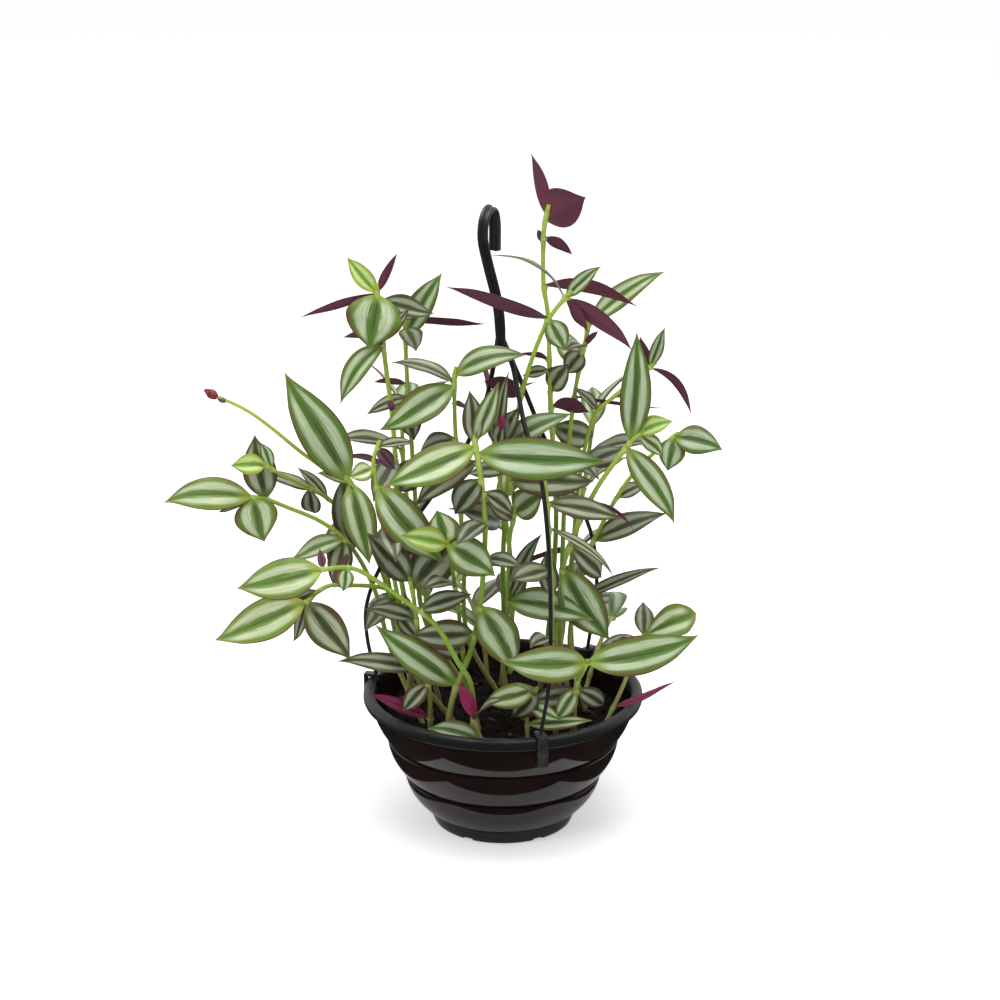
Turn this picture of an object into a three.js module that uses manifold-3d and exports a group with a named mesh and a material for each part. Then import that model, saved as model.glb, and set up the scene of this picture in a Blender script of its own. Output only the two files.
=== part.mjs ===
// A potted tradescantia: a banded plastic hanging pot with its moulded hanger, peat, and trailing shoots.
// Millimetres, Z up. The origin is the middle of the pot's underside and -Y is the display side.
import * as THREE from "three";
import { mergeVertices } from "three/addons/utils/BufferGeometryUtils.js";
import Module from "manifold-3d";

// Pot: height and outer radii down the wall. Each band is nearly upright at its top and turns in below.
const POT_HEIGHT = 90;
const RIM_RADIUS = 90;
const RIM_UNDERSIDE = 82;
const POT_WALL = 1.9;
const POT_SIDES = 28;
const SOIL_SIDES = 14;
const BANDS = [
  { top: 82, bottom: 58, wide: 84.3, narrow: 73.8 },
  { top: 58, bottom: 33, wide: 74.8, narrow: 62.6 },
  { top: 33, bottom: 8.5, wide: 63.6, narrow: 48 },
];
const FOOT_RADIUS = 45;
const FLOOR_TOP = 4.2;
const DRAIN_RADIUS = 4;
const DRAIN_CIRCLE = 34;
const NOTCH_COUNT = 6;

// Soil: its mean level, the depth that the stems reach and the clearance that every neighbour keeps.
const SOIL_TOP = 73;
const GAP = 0.35;

// Hanger: the arms meet the rim at these headings, and each ends in a clip over the rim.
const CLIP_HEADINGS = [15.5, 138, 258];
const CLIP_WIDTH = 6.5;
const ARM_RADIUS = 1.5;
const SHAFT_HALF_WIDTH = 3.3;
const SHAFT_HALF_DEPTH = 2.7;
const HOOK_SEAT = { x: -8, y: 7.6, z: 396.7 };
const ARM_ROUTES = [
  [[-1, -1, 322], [2, -3, 313], [6, -6, 304], [10, -18, 286], [14, -30, 270], [21, -43, 252],
    [25, -52, 232], [28, -62, 197], [29, -71, 157], [28, -77, 122], [23, -81, 91.2]],
  [[-1, 1, 322], [11, 10, 291], [27, 28, 247], [45, 45, 205], [55, 53, 185], [61, 60, 160],
    [62, 64, 130], [56.6, 62.6, 91.2]],
  [[-3, 0, 322], [-6, 10, 300], [-12, 20, 272], [-26, 24, 240], [-50, 22, 205], [-76, 19, 170],
    [-88, 19, 140], [-88, 19, 115], [-82.4, 17.5, 91.2]],
];
const SHAFT_ROUTE = [[-1, 0, 312], [-3, 0, 340], [-9, 0, 366], [-12, -2, 380], [-12.3, -3, 389],
  [-11, 1, 396], [-8.2, 7.5, 399], [-6, 14, 396], [-5, 17, 388], [-5, 18, 378], [-5, 18, 372]];

// Plant: the sides round a stem, and where along a leaf its cross-sections lie, as shares of its length.
const STEM_SIDES = 5;
const STEM_RINGS = 10;
const LEAF_SECTIONS = [0.07, 0.3, 0.6, 0.85];
const LEAF_THICKNESS = 0.9;
const LEAF_FOLD = 0.16;
const SIMPLIFY = 0.3;

// Each shoot is [name, stem radius, route from below the soil to the tip, leaves]. Each leaf is
// [share of the stem's length, heading, pitch, length, width, lean, arch in hundredths, tone].
// A heading is measured from the display side towards +X. The lean tips a leaf's face from the sky to
// the display side. A tone ends in * where the leaf is a mesh of its own and not joined to its stem.
const SHOOTS = [
  ["left_low", 1.6, [[-20, -62, 62], [-19, -64, 112], [-28, -66, 133], [-41, -67, 157],
    [-60, -67, 173], [-82, -66, 189], [-95, -66, 194], [-113, -66, 192]], [
    [1, -80, -10, 52, 24, 62, 1, "L*"], [1, -150, 72, 12, 5, 60, 5, "P"],
    [0.62, 98, 15, 33, 13, 50, 8, "D"], [0.9, -25, -70, 14, 10, 60, 5, "G"]]],
  ["left_hook", 1.5, [[-38, 8, 62], [-50, -5, 117], [-62, -20, 148], [-72, -30, 167],
    [-98, -42, 174], [-110, -46, 174], [-124, -51, 164]], [
    [1, -80, -22, 60, 24, 65, -6, "L*"], [1, -130, -70, 31, 7, 60, 5, "D"],
    [1, 72, -48, 44, 22, 75, 6, "D*"], [0.92, -105, -30, 35, 11, 60, 8, "D"],
    [0.84, 15, 50, 37, 12, 30, 6, "G"], [0.6, -40, -25, 32, 14, 30, 8, "D"],
    [0.42, -100, 75, 26, 8, 60, 5, "D"]]],
  ["left_far", 1.5, [[-46, -26, 62], [-71, -14, 120], [-81, -12, 160], [-96, -12, 190],
    [-113, -12, 205], [-133, -14, 215], [-149, -16, 222], [-160, -16, 223]], [
    [1, -85, 0, 54, 20, 60, 18, "L*"], [0.98, -85, -25, 23, 6, 40, 5, "D"],
    [0.98, 30, -62, 28, 26, 80, 6, "G*"], [0.94, -135, 75, 40, 20, 60, 6, "D"],
    [0.68, -75, -20, 35, 13, 45, 8, "L"], [0.68, -30, -65, 31, 15, 70, 5, "D"]]],
  ["left_up", 1.4, [[-45, 24, 62], [-69, 34, 109], [-77, 34, 151], [-92, 32, 186],
    [-112, 14, 213], [-130, -6, 230], [-143, -22, 243], [-149, -26, 249]], [
    [1, -80, 3, 21, 13, 60, 12, "Y"], [0.78, -105, 15, 36, 10, 30, 8, "D"],
    [0.72, -100, 45, 27, 8, 30, 5, "D"], [0.8, 180, -45, 36, 12, 70, 4, "D"],
    [0.96, -120, 65, 17, 8, 40, 4, "G"], [0.6, -30, -25, 36, 16, 30, 8, "D"]]],
  ["left_big", 1.7, [[-54, 16, 62], [-63, 10, 104], [-71, 4, 148], [-79, -2, 190],
    [-95, -4, 228], [-103, -4, 233]], [
    [0.96, -80, 60, 79, 27, 60, 4, "G*"], [0.95, 35, -66, 52, 20, 65, 6, "G"],
    [0.98, 150, -80, 52, 17, 75, 6, "D"], [0.95, -90, 18, 21, 7, 60, 4, "G"],
    [0.62, 135, 5, 39, 16, 50, 8, "D"], [0.44, -150, -10, 36, 16, 50, 8, "D"]]],
  ["centre_left", 1.5, [[-22, -22, 62], [-60, -36, 122], [-65, -40, 164], [-72, -42, 203],
    [-77, -42, 238], [-79, -40, 253], [-75, -38, 266]], [
    [0.87, 70, -46, 62, 24, 75, 8, "G*"], [0.98, 80, -53, 17, 9, 50, 5, "P"],
    [0.98, 100, 5, 22, 8, 30, 5, "D"],
    [0.75, 20, -25, 31, 14, 30, 8, "D"], [0.92, -75, -18, 15, 12, 60, 10, "L"]]],
  ["upleft_a", 1.7, [[-62, 2, 62], [-59, -8, 125], [-66, -4, 177], [-67, 0, 229],
    [-69, 4, 267], [-74, 8, 311], [-78, 8, 353]], [
    [0.99, -35, -72, 34, 34, 75, 6, "G*"], [1, -105, 49, 28, 11, 60, 4, "Y"],
    [1, -94, -17, 50, 7, -50, 1, "P"], [1, 90, 64, 27, 6, -40, 4, "P"],
    [0.88, -102, 0, 25, 7, -50, 5, "P"], [0.87, -68, -52, 45, 16, 35, 16, "G"],
    [0.96, 112, -18, 37, 14, 50, 8, "D"], [0.88, 62, 47, 28, 9, 55, 5, "D"],
    [0.55, 110, 50, 27, 18, 60, 8, "D"], [0.62, -25, -30, 36, 16, 30, 8, "D"]]],
  ["upleft_b", 1.6, [[-15, 30, 62], [-51, 32, 124], [-55, 36, 177], [-58, 38, 231],
    [-61, 40, 283], [-62, 40, 316], [-62, 40, 328]], [
    [0.94, 100, 60, 46, 16, 60, 5, "G"], [0.98, 99, -5, 51, 7, -50, -2, "P"],
    [0.96, 15, -10, 34, 14, 30, 4, "D"], [0.83, -105, 0, 22, 7, -50, 5, "P"],
    [0.78, 30, -72, 22, 14, 70, 5, "D"], [0.62, -18, -10, 32, 18, 30, 8, "D"],
    [0.5, 15, -10, 37, 16, 30, 8, "D"], [0.8, -85, -22, 28, 10, 40, 8, "D"]]],
  ["upmid", 1.5, [[8, 12, 62], [-22, 6, 120], [-25, 4, 175], [-28, 2, 229],
    [-30, 0, 268], [-30, -2, 296], [-29, -2, 303]], [
    [0.96, -99, 15, 41, 13, 20, 14, "D"], [0.95, -75, -30, 53, 21, 60, 8, "G*"],
    [0.98, 85, 16, 46, 17, 50, 22, "G*"], [0.81, -140, -25, 39, 14, 60, 8, "D"],
    [0.62, 145, -25, 49, 18, 60, 8, "D"]]],
  ["main_front", 1.8, [[-36, -44, 62], [-32, -48, 99], [-20, -50, 134], [-14, -52, 166],
    [-11, -52, 207], [-12, -52, 234], [-15, -50, 256], [-18, -47, 273]], [
    [0.96, -78, -20, 59, 23, 60, 8, "G*"], [0.92, -99, -37, 48, 16, 50, 8, "D"],
    [0.94, 82, 0, 78, 25, 65, 4, "G*"], [0.87, -107, -55, 29, 17, 60, 8, "D"],
    [0.97, -140, 82, 32, 13, 80, 5, "D"], [0.99, 98, 68, 38, 12, 78, 5, "G"],
    [0.49, 70, -59, 45, 24, 78, 6, "G*"], [0.4, -84, 2, 39, 18, 60, 8, "D"],
    [0.83, 114, -40, 26, 13, 45, 8, "D"], [0.23, -82, 39, 65, 20, 60, 8, "G*"],
    [0.74, -30, -10, 33, 14, 30, 8, "D"], [0.63, 45, 5, 31, 12, 40, 8, "D"]]],
  ["centre_low", 1.4, [[-12, -34, 62], [-23, -37, 109], [-27, -42, 151], [-31, -50, 187],
    [-34, -60, 209]], [
    [0.98, -70, 16, 31, 15, 60, 8, "Y"], [1, -90, 75, 22, 20, 60, 5, "G"],
    [0.98, 71, -27, 34, 22, 70, 12, "G*"], [0.76, -25, 15, 43, 16, 30, 8, "D"],
    [0.46, -80, 5, 20, 16, 40, 8, "D"]]],
  ["low_left", 1.5, [[-46, -36, 62], [-46, -48, 107], [-51, -50, 134], [-55, -48, 167],
    [-58, -46, 182]], [
    [0.93, 118, 42, 46, 25, 75, 8, "D"], [0.66, -105, 50, 24, 10, 50, 5, "D"],
    [0.5, -85, 10, 54, 13, 40, 8, "D"], [0.97, -75, 50, 42, 18, 60, 6, "D"],
    [0.77, -100, 10, 32, 12, 40, 8, "D"], [0.2, -75, 29, 43, 8, 60, -4, "M"],
    [0.42, -85, -50, 24, 12, 60, 5, "D"]]],
  ["centre_top", 1.5, [[20, -14, 62], [1, -26, 105], [3, -26, 159], [4, -24, 197],
    [7, -22, 215], [4, -20, 236], [-2, -22, 251], [-4, -22, 262]], [
    [0.76, 76, 38, 22, 19, 60, 5, "G"], [0.74, -83, 44, 23, 12, 50, 5, "D"],
    [0.49, 80, 66, 50, 11, 30, 5, "D"], [0.86, 88, -1, 51, 20, 55, 8, "D"],
    [0.49, 66, -4, 57, 20, 60, 8, "G*"], [0.96, 95, 27, 50, 17, 40, 8, "G"],
    [0.98, 135, 80, 23, 15, 60, 5, "D"], [0.98, 99, 62, 27, 12, 50, 5, "D"],
    [0.98, 28, 68, 18, 11, 30, 5, "D"], [0.98, 110, 82, 46, 8, 40, 5, "D"]]],
  ["top_high", 1.6, [[22, 30, 62], [29, 22, 114], [34, 20, 196], [30, 18, 273],
    [28, 16, 329], [25, 16, 352], [25, 14, 385], [28, 14, 401]], [
    [1, -104, 76, 38, 8, -60, 4, "P*"], [0.97, 85, 32, 28, 26, -80, 4, "P*"],
    [0.94, 84, -29, 20, 8, -60, 5, "P"], [0.93, -120, 60, 8, 5, -60, 4, "P"],
    [0.85, 88, -13, 59, 13, -50, 8, "P*"], [0.71, -96, 9, 19, 8, -40, 5, "P"],
    [0.65, 61, 56, 22, 15, 50, 5, "D"], [0.69, -100, -15, 17, 8, 50, 5, "D"],
    [0.62, 88, -8, 24, 14, -50, 6, "P"], [0.58, 145, -20, 50, 18, 75, 8, "D"],
    [0.46, -35, 5, 41, 16, 30, 8, "D"]]],
  ["top_mid", 1.6, [[-2, 42, 62], [1, 32, 110], [0, 22, 169], [4, 10, 233],
    [12, 0, 287], [26, -16, 333], [41, -26, 356]], [
    [1, -90, 28, 52, 6, 10, 18, "D"], [1, 90, 44, 28, 9, 65, 4, "G"],
    [1, 80, -34, 50, 11, -70, 6, "P"], [0.92, -90, 19, 64, 10, -60, -4, "P*"],
    [0.92, 68, -59, 21, 14, 60, 5, "G"], [0.73, -98, 22, 24, 15, -60, 5, "P"],
    [0.63, 150, -25, 44, 16, 60, 8, "D"], [0.45, -25, 30, 45, 16, 30, 8, "D"],
    [0.56, -135, -15, 37, 14, 50, 8, "D"], [0.99, 75, -55, 24, 6, -60, 4, "P"]]],
  ["top_right", 1.6, [[46, 12, 62], [37, 10, 118], [38, 14, 171], [40, 20, 223],
    [45, 26, 276], [53, 32, 317], [53, 32, 326]], [
    [0.98, 90, 37, 58, 15, 40, 6, "G"], [0.97, -90, 60, 23, 9, -60, 5, "P"],
    [0.93, -25, 10, 31, 12, 30, 8, "D"], [0.93, 75, 50, 13, 5, -40, 4, "P"],
    [0.88, -150, 35, 33, 14, 70, 5, "G"], [0.92, -74, -50, 18, 14, 60, 6, "D"],
    [0.81, 92, -8, 60, 5, -40, -4, "P"], [0.66, 35, -10, 33, 14, 30, 8, "D"]]],
  ["right_top", 1.4, [[52, 26, 62], [45, 28, 111], [45, 28, 167], [49, 28, 221],
    [57, 24, 262], [71, 20, 279], [88, 18, 294], [96, 18, 301]], [
    [0.98, -90, 70, 20, 6, -40, 5, "P"], [1, 90, 73, 26, 8, 75, 4, "G"],
    [1, 82, -48, 39, 7, -40, 22, "P*"], [0.81, -75, 45, 22, 10, 30, 5, "D"],
    [0.87, 100, -20, 23, 8, 30, 5, "D"], [0.66, 130, 5, 36, 14, 60, 8, "D"]]],
  ["right_up", 1.7, [[40, -20, 62], [33, -30, 127], [35, -32, 161], [39, -35, 191],
    [56, -35, 232], [77, -35, 263], [86, -35, 272]], [
    [0.95, 135, 87, 67, 18, 60, 4, "G*"], [0.93, 72, -53, 54, 17, 75, 8, "G*"],
    [1, 80, 22, 22, 12, 50, 12, "Y"], [1, 80, -40, 20, 10, 60, 14, "G"],
    [0.75, 75, -29, 32, 5, -40, 8, "P"], [0.54, 80, -56, 53, 25, 80, 8, "G*"],
    [0.69, -155, 20, 32, 14, 60, 8, "D"], [0.61, 145, -40, 48, 16, 60, 8, "D"]]],
  ["right_far", 1.5, [[57, -5, 62], [43, -8, 118], [46, -6, 151], [51, -4, 177],
    [58, -2, 191], [69, 0, 213], [82, 2, 233], [96, 4, 247], [110, 4, 259]], [
    [1, 77, -10, 31, 18, 55, 12, "G*"], [0.98, -28, -65, 21, 16, 70, 8, "G"],
    [0.6, 82, 24, 49, 16, 45, 6, "D"], [0.41, 86, 25, 59, 9, 30, 6, "D"],
    [0.74, 110, 20, 20, 10, 40, 5, "D"], [0.42, 140, -15, 38, 14, 50, 8, "D"]]],
  ["right_mid", 1.6, [[34, -40, 62], [30, -50, 128], [30, -52, 168], [28, -50, 206],
    [27, -42, 226], [24, -34, 246]], [
    [0.89, 85, -10, 46, 14, 50, 8, "D"], [0.81, 79, -33, 49, 6, 40, 14, "D"],
    [0.97, -75, 50, 25, 14, 30, 5, "D"], [0.58, -150, 75, 27, 12, 60, 5, "D"],
    [0.67, -60, -5, 29, 16, 30, 8, "D"], [0.43, -25, 10, 35, 14, 30, 8, "D"]]],
  ["right_low", 1.4, [[58, -36, 62], [75, -24, 97], [81, -18, 111], [87, -14, 124],
    [91, -12, 131]], [
    [0.97, 180, 35, 26, 12, 70, 5, "D"], [1, 85, 25, 35, 20, 55, 8, "Go*"],
    [0.36, 78, 30, 44, 7, 20, -4, "M"], [0.81, -150, 0, 28, 12, 60, 5, "D"]]],
  ["right_front", 1.6, [[44, -44, 62], [45, -58, 111], [49, -64, 125], [52, -66, 134]], [
    [0.97, 85, 15, 70, 23, 60, -2, "G*"], [0.97, -61, 10, 60, 22, 76, 3, "L*"],
    [0.67, 140, -35, 36, 12, 70, 5, "D"], [0.78, -165, 5, 37, 16, 70, 5, "G"],
    [0.67, -60, -50, 22, 12, 60, 5, "G"]]],
  ["front_mid", 1.3, [[16, -58, 62], [15, -62, 98], [18, -63, 106], [21, -64, 115]], [
    [1, -97, -17, 34, 15, 70, 5, "G"], [0.98, -107, -54, 26, 15, 70, 5, "D"],
    [0.89, -20, 30, 35, 12, 30, 5, "G"], [0.75, 70, -20, 22, 10, 50, 5, "G"],
    [0.83, 130, -5, 37, 14, 70, 5, "D"], [0.5, 82, 8, 40, 9, 60, 4, "G"]]],
  ["front_left", 1.4, [[-8, -66, 62], [-16, -68, 90], [-18, -70, 97]], [
    [0.55, -97, 12, 33, 13, 45, 8, "G"], [0.45, 88, -6, 28, 8, 60, 10, "M"],
    [1, -70, 68, 26, 9, -60, 5, "M"], [1, 30, 35, 41, 14, 30, 5, "D"]]],
  ["back_left", 1.6, [[-38, 38, 62], [-52, 52, 140], [-64, 62, 205], [-66, 70, 262]], [
    [0.35, 200, 15, 54, 20, -30, 8, "D"], [0.48, 265, 10, 56, 21, -10, 8, "G"],
    [0.6, 150, 15, 50, 18, -40, 8, "D"], [0.72, 230, 10, 58, 22, -30, 10, "G"],
    [0.84, 300, 15, 50, 17, 20, 8, "D"], [0.93, 175, 20, 48, 17, -40, 8, "G"],
    [1, 240, 45, 40, 14, -20, 6, "G"], [1, 70, 30, 40, 14, 10, 6, "D"]]],
  ["back_mid", 1.6, [[4, 56, 62], [6, 68, 140], [-2, 80, 205], [-10, 86, 256]], [
    [0.3, 180, 10, 54, 20, -40, 8, "D"], [0.42, 120, 5, 56, 20, -30, 8, "D"],
    [0.55, 235, 10, 52, 20, -30, 8, "G"], [0.66, 160, 15, 56, 21, -40, 10, "G"],
    [0.78, 80, 10, 48, 17, -10, 8, "D"], [0.88, 215, 15, 52, 18, -40, 8, "G"],
    [0.96, 130, 20, 44, 15, -30, 8, "P"], [1, 200, 60, 36, 13, -30, 4, "P"]]],
  ["back_right", 1.6, [[34, 44, 62], [44, 66, 140], [54, 76, 205], [60, 72, 255]], [
    [0.35, 160, 10, 54, 20, -30, 8, "D"], [0.5, 110, 20, 52, 19, -20, 8, "G"],
    [0.6, 205, 15, 50, 18, -40, 8, "D"], [0.72, 135, 10, 58, 22, -30, 10, "G"],
    [0.84, 70, 15, 50, 17, 20, 8, "D"], [0.94, 180, 20, 46, 16, -40, 8, "G"],
    [1, 110, 45, 38, 14, -10, 6, "G"]]],
  ["back_trail", 1.5, [[-10, 64, 62], [-14, 76, 98], [-26, 98, 120], [-40, 134, 116]], [
    [0.35, 225, 10, 48, 19, -20, 8, "G"], [0.5, 150, 10, 52, 20, -20, 8, "D"],
    [0.65, 240, 5, 54, 22, -15, 10, "G"], [0.8, 165, 5, 50, 19, -25, 8, "G"],
    [0.95, 205, -10, 50, 20, -30, 8, "G"], [1, 130, 5, 38, 14, -20, 8, "Y"]]],
  ["right_trail", 1.5, [[52, 34, 62], [62, 52, 92], [72, 74, 108], [76, 98, 100]], [
    [0.45, 100, 0, 38, 16, 10, 8, "D"], [0.75, 180, 0, 50, 20, -20, 10, "G"],
    [0.9, 215, 5, 44, 17, -30, 8, "G"], [1, 175, -15, 46, 18, -20, 8, "G"]]],
];

// The dead flower stalk grows from near the tip of this shoot and carries one dry bud.
const STALK_SHOOT = "left_big";
const STALK_ROUTE = [[-99, -4, 229], [-110, -5, 237], [-126, -8, 250], [-143, -11, 266],
  [-158, -13, 278], [-175, -14, 287]];
const STALK_RADIUS = 1.2;
const DRY_BUD = { x: -180, y: -14, z: 289.5, radius: 4.5 };

const TONES = { G: 0x5d8a3e, D: 0x3f5a3a, P: 0x5b2744, M: 0xa01d5a, Y: 0x9cb845, L: 0x9db35a };

const wasm = await Module();
wasm.setup();
const root = new THREE.Group();
const toRadians = THREE.MathUtils.degToRad;

// The closed solid of a geometry, turned face out whichever way it was wound.
function solidOf(geometry) {
  const bare = new THREE.BufferGeometry();
  const open = geometry.index ? geometry.toNonIndexed() : geometry;
  bare.setAttribute("position", open.getAttribute("position"));
  const merged = mergeVertices(bare, 1e-4);
  const corners = new Uint32Array(merged.index.array);
  const vertProperties = merged.attributes.position.array;
  const made = new wasm.Manifold(new wasm.Mesh({ numProp: 3, vertProperties, triVerts: corners }));
  if (made.volume() > 0) return made;
  const turned = corners.map((value, i) => corners[i % 3 === 0 ? i : i % 3 === 1 ? i + 1 : i - 1]);
  return new wasm.Manifold(new wasm.Mesh({ numProp: 3, vertProperties, triVerts: turned }));
}

// The geometry of a finished solid.
function geometryOf(solid) {
  const mesh = solid.getMesh();
  const geometry = new THREE.BufferGeometry();
  geometry.setAttribute("position", new THREE.BufferAttribute(new Float32Array(mesh.vertProperties), 3));
  geometry.setIndex(new THREE.BufferAttribute(new Uint32Array(mesh.triVerts), 1));
  return geometry;
}

function add(name, solid, color, roughness, metalness = 0) {
  const material = new THREE.MeshStandardMaterial({ color, roughness, metalness });
  const mesh = new THREE.Mesh(geometryOf(solid), material);
  mesh.name = name;
  root.add(mesh);
}

function curveThrough(route) {
  const points = route.map(([x, y, z]) => new THREE.Vector3(x, y, z));
  return new THREE.CatmullRomCurve3(points, false, "catmullrom", 0.5);
}

// A body of revolution about Z, from its closed profile of [radius, height] points.
function turned(profile, sides = POT_SIDES) {
  const points = profile.map(([radius, height]) => new THREE.Vector2(radius, height));
  return new THREE.LatheGeometry([...points, points[0]], sides).rotateX(Math.PI / 2);
}

function boxAt(width, depth, height, x, y, z) {
  return new THREE.BoxGeometry(width, depth, height).translate(x, y, z);
}

// A point at this heading and radius, with headings measured from -Y towards +X.
function aroundPot(heading, radius, z) {
  const angle = toRadians(heading);
  return new THREE.Vector3(radius * Math.sin(angle), -radius * Math.cos(angle), z);
}

// A round rod along a curve, thinner towards its end, from a cylinder whose rings are laid on the curve.
function rodAlong(curve, startRadius, endRadius, sides, rings) {
  const geometry = new THREE.CylinderGeometry(1, 1, 1, sides, rings);
  const frames = curve.computeFrenetFrames(rings, false);
  const position = geometry.attributes.position;
  for (let i = 0; i < position.count; i += 1) {
    const ring = Math.round((position.getY(i) + 0.5) * rings);
    const share = ring / rings;
    const radius = startRadius + (endRadius - startRadius) * share;
    const point = curve.getPointAt(share);
    point.addScaledVector(frames.normals[ring], position.getX(i) * radius);
    point.addScaledVector(frames.binormals[ring], position.getZ(i) * radius);
    position.setXYZ(i, point.x, point.y, point.z);
  }
  return geometry;
}

// The point at a share of a rod's length, on the straight runs between its rings.
function pointOnRod(curve, share, rings) {
  const ring = Math.min(Math.floor(share * rings), rings - 1);
  const start = curve.getPointAt(ring / rings);
  return start.lerp(curve.getPointAt((ring + 1) / rings), share * rings - ring);
}

// Pot: three stacked bands, a foot ring and a rolled rim, hollow down to the floor.
function bandRadius(band, height) {
  const down = (band.top - height) / (band.top - band.bottom);
  return band.wide - (band.wide - band.narrow) * down ** 1.9;
}

function outerWall() {
  const wall = [];
  for (const band of BANDS) {
    for (const down of [0.02, 0.45, 0.74, 0.98]) {
      const height = band.top - (band.top - band.bottom) * down;
      wall.push([bandRadius(band, height), height]);
    }
  }
  return wall;
}

// The inside of the wall runs straight from each valley to the next.
function innerWall(shrink) {
  const [upper, middle, lower] = BANDS;
  return [
    [upper.wide - shrink, upper.top - 2],
    [upper.narrow - shrink, upper.bottom],
    [middle.narrow - shrink, middle.bottom],
    [lower.narrow - shrink, lower.bottom + 1],
  ];
}

function buildPot() {
  const profile = [
    [0, 0], [30, 0], [31, 1.6], [39.5, 1.6], [40.5, 0], [FOOT_RADIUS, 0], [46.6, 4], [47.2, 8.2],
    ...outerWall().reverse(),
    [88.6, RIM_UNDERSIDE], [RIM_RADIUS, 83.6], [RIM_RADIUS, 87.4], [88.6, 89.4], [86.2, POT_HEIGHT],
    [83.8, 89.3], [82.4, 87],
    ...innerWall(POT_WALL), [43, FLOOR_TOP], [0, FLOOR_TOP],
  ];
  let pot = solidOf(turned(profile));
  for (let i = 0; i < NOTCH_COUNT; i += 1) {
    const heading = 30 + (360 / NOTCH_COUNT) * i;
    const hole = new THREE.CylinderGeometry(DRAIN_RADIUS, DRAIN_RADIUS, 12, 10).rotateX(Math.PI / 2);
    const place = aroundPot(heading, DRAIN_CIRCLE, 2);
    pot = pot.subtract(solidOf(hole.translate(place.x, place.y, place.z)));
    const notch = boxAt(7, 9, 5, 0, -44, -0.9);
    pot = pot.subtract(solidOf(notch.rotateZ(toRadians(heading))));
  }
  return pot;
}

// Soil: fills the pot to its level with a lumpy top, and keeps a hole round every stem.
function soilLump(x, y) {
  const wave = Math.sin(x * 0.13 + 1) * Math.cos(y * 0.11) + 0.6 * Math.sin(x * 0.31 + y * 0.27);
  return 1.4 * wave;
}

function buildSoil(stems) {
  const [brim, ...filled] = innerWall(POT_WALL + GAP);
  const share = (brim[1] - SOIL_TOP + 2) / (brim[1] - filled[0][1]);
  const reach = brim[0] + (filled[0][0] - brim[0]) * share;
  const top = [[reach, SOIL_TOP - 2], [reach - 8, SOIL_TOP], [50, SOIL_TOP + 2], [25, SOIL_TOP + 1]];
  const bottom = FLOOR_TOP + GAP;
  const profile = [[0, bottom], [42, bottom], ...filled.reverse(), ...top, [0, SOIL_TOP + 2]];
  const geometry = turned(profile, SOIL_SIDES);
  const position = geometry.attributes.position;
  for (let i = 0; i < position.count; i += 1) {
    const [x, y, z] = [position.getX(i), position.getY(i), position.getZ(i)];
    if (z > SOIL_TOP - 0.5) position.setZ(i, z + soilLump(x, y));
  }
  return stems.reduce((soil, stem) => soil.subtract(stem), solidOf(geometry));
}

// Hanger: one moulding of a fluted hook and shaft, three arms and a clip over the rim on each arm.
function flutedSection() {
  const [wide, deep] = [SHAFT_HALF_WIDTH, SHAFT_HALF_DEPTH];
  const outline = [
    [wide, -deep], [wide, deep], [1, deep], [0.7, deep - 0.9], [-0.7, deep - 0.9], [-1, deep],
    [-wide, deep], [-wide, -deep], [-1, -deep], [-0.7, 0.9 - deep], [0.7, 0.9 - deep], [1, -deep],
  ];
  return new THREE.Shape(outline.map(([x, y]) => new THREE.Vector2(x, y)));
}

function buildClip(heading) {
  const strap = boxAt(CLIP_WIDTH, 12, 1.8, 0, -86.2, POT_HEIGHT + GAP + 0.9);
  const tab = boxAt(CLIP_WIDTH, 1.8, 20, 0, -(RIM_RADIUS + GAP + 0.9), 82.15);
  const inside = boxAt(CLIP_WIDTH, 1.7, 7, 0, -80.95, POT_HEIGHT + GAP - 1.7);
  const catchLip = boxAt(CLIP_WIDTH, 5.5, 1.8, 0, -(RIM_RADIUS + GAP - 1.6), RIM_UNDERSIDE - GAP - 0.9);
  return [strap, tab, inside, catchLip]
    .map((piece) => solidOf(piece.rotateZ(toRadians(heading))))
    .reduce((joined, piece) => joined.add(piece));
}

function buildHanger() {
  const shaft = new THREE.ExtrudeGeometry(flutedSection(), {
    steps: 16,
    bevelEnabled: false,
    extrudePath: curveThrough(SHAFT_ROUTE),
  });
  let hanger = solidOf(shaft);
  for (const route of ARM_ROUTES) {
    hanger = hanger.add(solidOf(rodAlong(curveThrough(route), ARM_RADIUS + 0.4, ARM_RADIUS, 5, 15)));
  }
  for (const heading of CLIP_HEADINGS) hanger = hanger.add(buildClip(heading));
  // A small flat under the crown, where the hook bears on whatever it hangs from.
  const flat = boxAt(14, 8, 6, HOOK_SEAT.x, HOOK_SEAT.y, HOOK_SEAT.z - 3);
  return hanger.subtract(solidOf(flat));
}

// The directions of a leaf: along its midrib, out of its upper face and across it.
function leafAxes(heading, pitch, lean) {
  const [h, p, a] = [heading, pitch, lean].map(toRadians);
  const along = new THREE.Vector3(Math.cos(p) * Math.sin(h), -Math.cos(p) * Math.cos(h), Math.sin(p));
  const up = new THREE.Vector3(0, -Math.sin(a), Math.cos(a));
  up.addScaledVector(along, -up.dot(along)).normalize();
  return { along, up, across: new THREE.Vector3().crossVectors(along, up) };
}

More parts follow.
